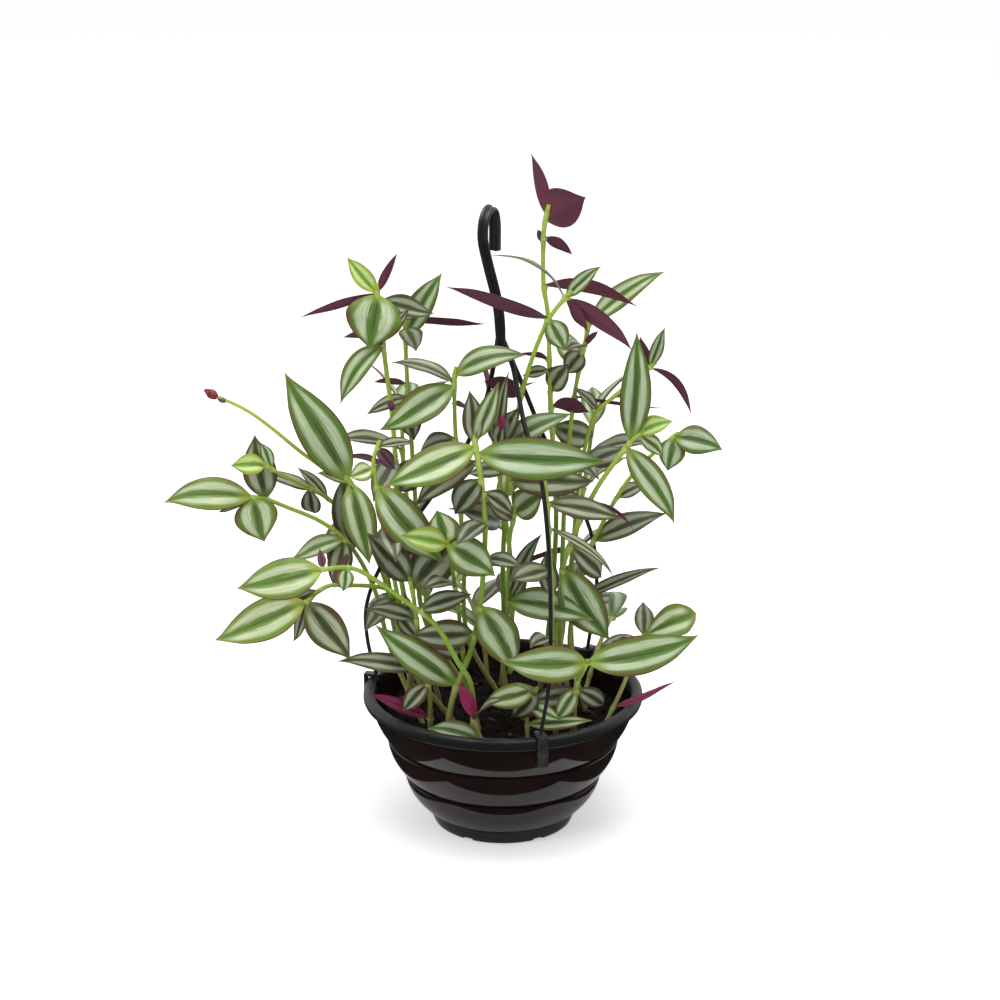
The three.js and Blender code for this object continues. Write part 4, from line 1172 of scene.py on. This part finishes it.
@dataclass
class Bud:
    """A closed bud of overlapping scales round a plump heart, in millimetres."""

    name: str
    place: Point
    aim: Point
    length: float
    girth: float
    scales: int = 5
    hook: bool = False

    def build(self, flesh: bpy.types.Material, tip: bpy.types.Material) -> bpy.types.Object:
        """Make the bud.

        Args:
            flesh: the finish of its scales.
            tip: the finish of its heart.

        Returns:
            The bud, in its place.
        """
        heart = primitive(bpy.ops.mesh.primitive_uv_sphere_add, segments=16, ring_count=10, radius=1)
        long, wide = self.length * MM, self.girth * MM
        for vertex in heart.data.vertices:
            share = (vertex.co.z + 1) / 2
            swell = wide / 2 * (1 - 0.35 * share**2)
            vertex.co = (vertex.co.x * swell, vertex.co.y * swell, share * long * 0.94)
        heart.data.materials.append(tip)
        parts = [heart]
        for index in range(self.scales):
            scale = petal_blade(long * (1.05 - 0.1 * (index % 2)), wide * 0.95, wide * 0.06)
            scale.data.materials.append(flesh)
            angle = 2 * math.pi * index / self.scales
            scale.rotation_euler = (math.radians(4), 0, angle)
            scale.location = (-math.sin(angle) * wide * 0.02, math.cos(angle) * wide * 0.02, 0)
            parts.append(scale)
        if self.hook:
            barb = petal_blade(long * 0.55, wide * 0.3, wide * 0.1)
            barb.data.materials.append(tip)
            barb.rotation_euler = (math.radians(-70), 0, math.radians(120))
            barb.location = (0, 0, long * 0.85)
            parts.append(barb)
        for part in parts[1:]:
            seat(part)
        bud = join(parts, self.name)
        bud.rotation_mode = "QUATERNION"
        bud.rotation_quaternion = Vector(self.aim).to_track_quat("Z", "Y")
        bud.location = Vector(self.place) * MM
        seat(bud)
        smooth(bud, 60)
        return bud


@dataclass
class Flowers:
    """The dead stalk's dry bud and its small node, and the closed buds in the leaf joints."""

    dry: PetalFinish = PetalFinish("bud_dry", (0.16, 0.015, 0.02), (0.35, 0.06, 0.05), 0.35, 0.65)
    husk: PetalFinish = PetalFinish("bud_husk", (0.09, 0.07, 0.025), (0.2, 0.17, 0.06), 0.3, 0.7)
    crimson: PetalFinish = PetalFinish("bud_crimson", (0.14, 0.02, 0.05), (0.4, 0.03, 0.13), 0.3, 0.7)
    dark: PetalFinish = PetalFinish("bud_dark", (0.06, 0.02, 0.035), (0.16, 0.035, 0.07), 0.3, 0.7)

    def build(self, mottle: bpy.types.NodeTree) -> None:
        """Make the buds.

        Args:
            mottle: the group that stains and grains them.
        """
        dry, husk = self.dry.build(mottle), self.husk.build(mottle)
        crimson, dark = self.crimson.build(mottle), self.dark.build(mottle)
        dry_bud = Bud("dry_bud", (-176, -13.8, 286.4), (-0.8, 0, 0.6), 8.2, 5.6, hook=True)
        dry_node = Bud("dry_node", (-170.5, -13.6, 284), (-0.92, 0, 0.4), 5.5, 3.6, 3)
        front = Bud("bud_front", (-1, -26, 268), (0.05, -0.2, 1), 11, 4)
        upleft = Bud("bud_upleft", (-75.5, 3, 316), (-0.1, -0.3, 1), 5, 3.5)
        left = Bud("bud_left", (-67.5, -31, 283), (-0.2, -0.3, 1), 7, 4)
        for bud, flesh, tip, slot, node in (
            (dry_bud, dry, husk, "shoot_green", "shoot_left_big"),
            (dry_node, husk, husk, "shoot_green", "shoot_left_big"),
            (front, crimson, crimson, "leaf_purple", "shoot_centre_top"),
            (upleft, dark, crimson, "leaf_purple", "shoot_upleft_a"),
            (left, dark, crimson, "leaf_purple", "shoot_centre_left"),
        ):
            present(bud.build(flesh, tip), slot, node)


# ---------------------------------------------------------------- the pot, the soil and the hanger


def lathe(name: str, profile: list[tuple[float, float]], sides: int) -> bpy.types.Object:
    """Turn a closed body round Z, ring by ring from its underside's middle to its top's middle.

    Args:
        name: the object's name.
        profile: radius and height of each ring, in millimetres.
        sides: the number of sides.

    Returns:
        The closed body.
    """
    radius, height = profile[0]
    body = primitive(
        bpy.ops.mesh.primitive_circle_add,
        vertices=sides, radius=radius * MM, fill_type="NGON", location=(0, 0, height * MM),
    )
    rename(body, name)
    seat(body)
    bpy.ops.object.mode_set(mode="EDIT")
    bpy.context.tool_settings.mesh_select_mode = (False, True, False)
    bpy.ops.mesh.select_all(action="SELECT")
    for (before, low), (after, high) in zip(profile, profile[1:]):
        bpy.ops.mesh.extrude_edges_move(TRANSFORM_OT_translate={"value": (0, 0, (high - low) * MM)})
        stretch = after / before
        bpy.ops.transform.resize(value=(stretch, stretch, 1), center_override=(0, 0, high * MM))
    bpy.ops.mesh.merge(type="CENTER")
    bpy.ops.mesh.select_all(action="SELECT")
    bpy.ops.mesh.normals_make_consistent(inside=False)
    bpy.ops.object.mode_set(mode="OBJECT")
    return body


@dataclass
class PotShell:
    """The pot: three bands that turn in below, a notched foot ring, drain holes and a thick dull rim."""

    sides: int = 144
    wall: float = 1.9
    # Each band's top and bottom heights, and its radii at the top and at the bottom.
    bands: tuple[tuple[float, float, float, float], ...] = (
        (82.0, 58.0, 84.3, 73.8),
        (58.0, 33.0, 74.8, 62.6),
        (33.0, 8.5, 63.6, 48.0),
    )
    # The drain holes and the foot's notches: how many, how far out, and how large.
    notches: int = 6
    hole_out: float = 34.0
    hole_radius: float = 4.0
    notch_out: float = 44.0
    notch_size: Point = (7.0, 9.0, 5.0)
    finish: PotFinish = PotFinish()

    def outer(self) -> list[tuple[float, float]]:
        """The outside of the wall from the foot up, each band with a small rounded lip at its top."""
        rings = []
        for top, bottom, wide, narrow in reversed(self.bands):
            for step in range(14):
                down = 1 - step / 14
                rings.append((wide - (wide - narrow) * down**1.9, top - (top - bottom) * down))
            rings += [(wide - 0.02, top - 0.35), (wide - 0.15, top - 0.12), (wide - 0.45, top)]
        return rings

    def profile(self) -> list[tuple[float, float]]:
        """Every ring of the pot from the middle of its underside to the middle of its floor."""
        under = [
            (20, 0.3), (30, 0.2), (30.6, 0.5), (31, 1.6), (39.5, 1.6), (40, 0.4), (40.7, 0), (44.4, 0),
            (45, 0.4), (45.7, 2.0), (46.5, 4), (47, 6.5), (47.2, 8.2),
        ]
        rim = [
            (85.2, 82.05), (87.9, 82.2), (88.9, 82.6), (89.6, 83.3), (90, 84.3), (90, 86.8), (89.7, 88),
            (88.9, 89), (87.9, 89.7), (86.4, 90), (85, 89.8), (83.9, 89.2), (83, 88.2), (82.5, 86.8),
        ]
        steps = [(narrow - self.wall, bottom) for _, bottom, _, narrow in self.bands[:2]]
        floor = [(46.1, 9.5), (43, 4.2), (20, 4.2), (2, 4.2)]
        return [*under, *self.outer(), *rim, (82.4, 84), (82.3, 80), *steps, *floor]

    def cutter(self) -> bpy.types.Object:
        """What is cut away: a drain hole and a notch in the foot ring, at each of several headings."""
        cutters = []
        for index in range(self.notches):
            angle = math.radians(30 + 360 / self.notches * index)
            ahead = Vector((math.sin(angle), -math.cos(angle), 0))
            hole = ahead * self.hole_out * MM + Vector((0, 0, 2 * MM))
            notch = ahead * self.notch_out * MM + Vector((0, 0, -0.9 * MM))
            cutters.append(
                primitive(
                    bpy.ops.mesh.primitive_cylinder_add,
                    vertices=24, radius=self.hole_radius * MM, depth=12 * MM, location=hole,
                )
            )
            block = primitive(
                bpy.ops.mesh.primitive_cube_add, size=1, location=notch, rotation=(0, 0, angle)
            )
            block.scale = Vector(self.notch_size) * MM
            cutters.append(block)
        cutter = join(cutters, "cutter")
        seat(cutter)
        return cutter

    def build(self, mottle: bpy.types.NodeTree) -> None:
        """Make the pot.

        Args:
            mottle: the group that stains and grains it.
        """
        pot = lathe("pot_body", self.profile(), self.sides)
        cutter = self.cutter()
        apply_modifier(pot, "BOOLEAN", object=cutter, operation="DIFFERENCE", solver="EXACT")
        bpy.data.objects.remove(cutter)
        inside = []
        for vertex in pot.data.vertices:
            around, height = math.hypot(vertex.co.x, vertex.co.y) / MM, vertex.co.z / MM
            inside.append(float(height > 3.5 and around < 42 + 0.48 * (height - 4)))
        pot.data.attributes.new("inside", "FLOAT", "POINT").data.foreach_set("value", inside)
        pot.data.materials.append(self.finish.build(mottle))
        smooth(pot, 35)
        present(pot, "pot_plastic", "pot")


@dataclass
class Soil:
    """Peat with a lumpy top, crumbs, bits of fibre and chips of bark."""

    level: float = 73.0
    reach: float = 79.2
    sides: int = 120
    crumbs: int = 900
    fibres: int = 110
    chips: int = 16
    chance: np.random.Generator = field(default_factory=lambda: np.random.default_rng(7))
    peat: PeatFinish = PeatFinish("peat", (0.005, 0.003, 0.0025), (0.024, 0.014, 0.01))
    crumb: PeatFinish = PeatFinish("peat_crumb", (0.007, 0.004, 0.003), (0.032, 0.018, 0.013), 420.0, 0.0006)
    bark: PeatFinish = PeatFinish("bark_chip", (0.09, 0.03, 0.015), (0.24, 0.1, 0.05), 300.0, 0.0006)
    fibre: PeatFinish = PeatFinish("fibre", (0.1, 0.06, 0.035), (0.26, 0.17, 0.1), 500.0, 0.0002)

    def surface(self, x: float, y: float) -> float:
        """The height of the top at a place, in millimetres."""
        wave = math.sin(x * 0.13 + 1) * math.cos(y * 0.11) + 0.6 * math.sin(x * 0.31 + y * 0.27)
        crown = 2.0 - 4.0 * max(0.0, (math.hypot(x, y) - 50) / 28) ** 1.5
        lumps = noise.fractal(Vector((x * 0.12, y * 0.12, 3.0)), 0.7, 2.1, 5)
        return self.level + crown + 1.2 * wave + 1.7 * lumps

    def build(self, mottle: bpy.types.NodeTree) -> None:
        """Make the soil, with what lies on it.

        Args:
            mottle: the group that stains and grains it.
        """
        rings = [(20, 4.55), (42, 4.55), (45.6, 9.6), (59.7, 33), (70.7, 58), (76.8, 71)]
        rings += [(self.reach - 1.1 * step, self.level) for step in range(3, 71)]
        bed = lathe("peat_bed", [*rings, (1.5, self.level)], self.sides)
        for vertex in bed.data.vertices:
            if vertex.co.z > (self.level - 0.5) * MM:
                vertex.co.z = self.surface(vertex.co.x / MM, vertex.co.y / MM) * MM
        bed.data.materials.append(self.peat.build(mottle))
        smooth(bed, 60)
        present(bed, "peat", "soil")
        lump = primitive(bpy.ops.mesh.primitive_ico_sphere_add, subdivisions=1, radius=1)
        lump = Pattern.taken_from(lump)
        self.scatter("peat_crumbs", self.crumbs, 75.0, lump, self.lay_crumb, self.crumb.build(mottle), 20)
        chip = primitive(bpy.ops.mesh.primitive_cube_add, size=2)
        apply_modifier(chip, "BEVEL", width=0.25, segments=2)
        chip = Pattern.taken_from(chip)
        self.scatter("bark_chips", self.chips, 70.0, chip, self.lay_chip, self.bark.build(mottle))
        thread = Pattern.tube(5, 6)
        self.scatter("peat_fibres", self.fibres, 72.0, thread, self.lay_fibre, self.fibre.build(mottle))

    def scatter(
        self,
        name: str,
        count: int,
        rim: float,
        pattern: Pattern,
        lay: Callable[[Pattern, float, float], tuple[np.ndarray, ...]],
        material: bpy.types.Material,
        sharp: float = 60.0,
    ) -> None:
        """Scatter bent copies of one pattern evenly over the top.

        Args:
            name: the piece's name.
            count: how many copies there are.
            rim: the radius they keep within, in millimetres.
            pattern: what is copied.
            lay: bends one copy at a place.
            material: their finish.
            sharp: the angle above which their edges stay sharp, in degrees.
        """
        around = self.chance.uniform(0, 2 * math.pi, count)
        out = rim * np.sqrt(self.chance.uniform(0, 1, count))
        heap = Harvest()
        for far, angle in zip(out, around):
            heap.add(pattern, *lay(pattern, float(far * math.cos(angle)), float(far * math.sin(angle))))
        present(heap.build(name, material, sharp=sharp), "peat", "soil")

    def lay_crumb(self, lump: Pattern, x: float, y: float) -> tuple[np.ndarray, ...]:
        """One crumb: the lump at its own size, shape and turn."""
        size = 0.35 + 1.5 * float(self.chance.uniform(0, 1)) ** 3
        turn = np.linalg.qr(self.chance.normal(size=(3, 3)))[0]
        turn = turn * np.sign(np.linalg.det(turn))
        body = lump.vertices * self.chance.uniform(0.7, 1.25, lump.vertices.shape)
        body = body * (size * self.chance.uniform(0.7, 1.3, 3))
        return (body @ turn.T + (x, y, self.surface(x, y) + 0.3 * size),)

    def lay_chip(self, chip: Pattern, x: float, y: float) -> tuple[np.ndarray, ...]:
        """One chip of bark: the bevelled block at its own size and turn."""
        turn = float(self.chance.uniform(0, math.pi))
        body = chip.vertices * self.chance.uniform((1.6, 0.9, 0.4), (3.6, 1.6, 0.8))
        body[:, 2] += 0.1 * body[:, 0] * float(self.chance.uniform(-1, 1))
        cosine, sine = math.cos(turn), math.sin(turn)
        body = body @ np.array([[cosine, sine, 0], [-sine, cosine, 0], [0, 0, 1]])
        return (body + (x, y, self.surface(x, y) + 0.9),)

    def lay_fibre(self, thread: Pattern, x: float, y: float) -> tuple[np.ndarray, ...]:
        """One root fibre: the straight thread bent its own way."""
        turn = float(self.chance.uniform(0, 2 * math.pi))
        long = float(self.chance.uniform(2.5, 7))
        points = []
        for step in (-1.0, -0.4, 0.4, 1.0):
            px = x + step * long / 2 * math.cos(turn) + float(self.chance.uniform(-0.7, 0.7))
            py = y + step * long / 2 * math.sin(turn) + float(self.chance.uniform(-0.7, 0.7))
            points.append((px, py, self.surface(px, py) + 0.35 + float(self.chance.uniform(0, 1.0))))
        return thread.follow(Route(points), lambda shares, angles: np.full(len(shares), 0.16))


@dataclass
class Hanger:
    """One moulding: a fluted hook and shaft, three thin arms, and a clip over the rim on each arm."""

    half_width: float = 3.3
    half_depth: float = 2.7
    arm_radius: float = 1.2
    finish: PlasticFinish = PlasticFinish(
        "hanger_moulding", (0.014, 0.014, 0.015), (0.035, 0.035, 0.037), 0.24, 0.35
    )
    clip_finish: PlasticFinish = PlasticFinish(
        "clip_moulding", (0.018, 0.017, 0.017), (0.05, 0.048, 0.046), 0.2, 0.3
    )
    headings: tuple[float, ...] = (15.5, 138.0, 258.0)
    shaft: tuple[Point, ...] = (
        (-1, 0, 312), (-3, 0, 340), (-9, 0, 366), (-12, -2, 380), (-12.3, -3, 389),
        (-11, 1, 396), (-8.2, 7.5, 399), (-6, 14, 396), (-5, 17, 388), (-5, 18, 378), (-5, 18, 372),
    )
    arms: tuple[tuple[Point, ...], ...] = (
        (
            (-1, -1, 322), (2, -3, 313), (6, -6, 304), (10, -18, 286), (14, -30, 270), (21, -43, 252),
            (25, -52, 232), (28, -62, 197), (29, -71, 157), (28, -77, 122), (23, -81, 91.2),
        ),
        (
            (-1, 1, 322), (11, 10, 291), (27, 28, 247), (45, 45, 205), (55, 53, 185), (61, 60, 160),
            (62, 64, 130), (56.6, 62.6, 91.2),
        ),
        (
            (-3, 0, 322), (-6, 10, 300), (-12, 20, 272), (-26, 24, 240), (-50, 22, 205), (-76, 19, 170),
            (-88, 19, 140), (-88, 19, 115), (-82.4, 17.5, 91.2),
        ),
    )
    # A clip's blocks: each one's size, and its middle's Y and Z at the display side.
    blocks: tuple[tuple[Point, float, float], ...] = (
        ((6.5, 12, 1.8), -86.2, 91.25),
        ((6.5, 1.8, 20), -91.25, 82.15),
        ((6.5, 1.7, 7), -80.95, 88.65),
        ((6.5, 5.5, 1.8), -88.75, 80.75),
        ((2.2, 0.9, 15), -92.3, 82.5),
    )

    def fluted(self, shares: np.ndarray, angles: np.ndarray) -> np.ndarray:
        """The shaft's section: a rounded rectangle with a groove down its front and back."""
        wide = np.abs(np.cos(angles)) / self.half_width
        deep = np.abs(np.sin(angles)) / self.half_depth
        plain = (wide**5 + deep**5) ** -0.2
        off = plain * np.cos(angles)
        slim = 1 - 0.18 * np.clip((0.12 - shares) / 0.12, 0, 1)
        return slim * (plain - 0.9 * np.exp(-((off / 0.95) ** 4)))

    def build_clip(self, heading: float) -> bpy.types.Object:
        """Make one clip over the rim from bevelled blocks.

        Args:
            heading: where it stands on the rim, in degrees.

        Returns:
            The clip.
        """
        made = []
        for size, y, z in self.blocks:
            block = primitive(bpy.ops.mesh.primitive_cube_add, size=1, location=(0, y * MM, z * MM))
            block.scale = Vector(size) * MM
            seat(block)
            apply_modifier(block, "BEVEL", width=0.35 * MM, segments=2)
            made.append(block)
        clip = join(made, "clip")
        clip.rotation_euler = (0, 0, math.radians(heading))
        seat(clip)
        return clip

    def build(self, mottle: bpy.types.NodeTree) -> None:
        """Make the hanger's rods, and its clips.

        Args:
            mottle: the group that stains and grains it.
        """
        rods = Harvest()
        shaft, arm = Pattern.tube(48, 90), Pattern.tube(14, 70)
        rods.add(shaft, *shaft.follow(Route(self.shaft), self.fluted))
        for route in self.arms:
            bent = arm.follow(Route(route), lambda shares, angles: self.arm_radius + 0.4 - 0.4 * shares)
            rods.add(arm, *bent)
        present(rods.build("hanger_rods", self.finish.build(mottle)), "hanger_plastic", "hanger")
        clips = join([self.build_clip(heading) for heading in self.headings], "hanger_clips")
        clips.data.materials.append(self.clip_finish.build(mottle))
        smooth(clips, 40)
        present(clips, "hanger_plastic", "hanger")


# ---------------------------------------------------------------- the studio


@dataclass
class Studio:
    """A plain pale floor, soft white light and the camera."""

    floor_half: float = 12.0
    card_half: float = 0.083
    target: Point = (-0.0019, 0.0, 0.216)
    eye: Point = (-0.0019, -1.4306, 0.6671)
    field: float = 23.7

    def sheet(self, finish: SheetFinish, half: float, height: float, *rays: str) -> None:
        """Lay a square sheet flat.

        Args:
            finish: its finish, which also names it.
            half: half its side, in metres.
            height: its height, in metres.
            rays: the kinds of ray that don't see it, as its properties name them.
        """
        plane = primitive(bpy.ops.mesh.primitive_plane_add, size=2 * half, location=(0, 0, height))
        plane.name = finish.name
        seat(plane)
        plane.data.materials.append(finish.build())
        for kind in rays:
            setattr(plane, "visible_" + kind, False)

    def hang(self, data: bpy.types.ID, place: Point, aim: Point) -> bpy.types.Object:
        """Put a lamp or a camera at a place so that it faces a point, and return it."""
        thing = bpy.data.objects.new(data.name, data)
        thing.location = place
        thing.rotation_euler = (Vector(aim) - Vector(place)).to_track_quat("-Z", "Y").to_euler()
        bpy.context.scene.collection.objects.link(thing)
        return thing

    def light(self, name: str, place: Point, size: float, watts: float, mirrored: bool = False) -> None:
        """Hang one square soft light that faces the middle of the plant.

        Args:
            name: its name.
            place: where it hangs.
            size: its side, in metres.
            watts: its power.
            mirrored: whether glossy things mirror it.
        """
        data = bpy.data.lights.new(name, "AREA")
        data.size = size
        data.energy = watts
        self.hang(data, place, (0, 0, 0.2)).visible_glossy = mirrored

    def sky(self) -> None:
        """White to the eye, soft white as light, and mostly dark in what mirrors it from the front."""
        world = bpy.data.worlds.new("studio")
        bpy.context.scene.world = world
        world.use_nodes = True
        shade = Shade(world.node_tree)
        _, y, z = shade.apart(shade.term("TexCoord", {}, "Generated"))
        behind = shade.step(y, -0.25, 0.3) * shade.step(z, -0.45, -0.1)
        mirrored = shade.mix(behind, (0.02, 0.02, 0.021), (0.8, 0.8, 0.81))
        seen = shade.term("LightPath", {}, "Is Camera Ray")
        plain = shade.mix(seen, (0.62, 0.63, 0.64), (1.0, 1.0, 1.0))
        glossy = shade.term("LightPath", {}, "Is Glossy Ray")
        shade.feed(world.node_tree.nodes["Background"], {"Color": shade.mix(glossy, plain, mirrored)})

    def build(self) -> None:
        """Set the floor, the lights, the world and the camera."""
        floor = SheetFinish("floor", (0.93, 0.93, 0.93), 0.38)
        card = SheetFinish("floor_card", (0.9, 0.9, 0.9), 0.0)
        self.sheet(floor, self.floor_half, -0.0004, "glossy")
        self.sheet(card, self.card_half, -0.0003, "camera", "diffuse", "shadow")
        self.light("overhead", (0.0, -0.1, 2.2), 1.6, 34, mirrored=True)
        self.light("front_left", (-1.6, -1.7, 1.5), 1.0, 15)
        self.light("front_right", (1.7, -1.5, 1.4), 1.1, 5)
        self.sky()
        data = bpy.data.cameras.new("camera")
        data.angle = math.radians(self.field)
        scene = bpy.context.scene
        scene.view_settings.view_transform = "Standard"
        scene.camera = self.hang(data, self.eye, self.target)


def main() -> None:
    """Build the pot, the soil, the hanger, the plant and its buds in order, then the studio."""
    logging.basicConfig(level=logging.INFO, format="%(message)s")
    mottle = mottle_group()
    for maker in (PotShell(), Soil(), Hanger()):
        maker.build(mottle)
    Plant().build(mottle, leaf_bands_group())
    Flowers().build(mottle)
    Studio().build()


if __name__ == "__main__":
    main()
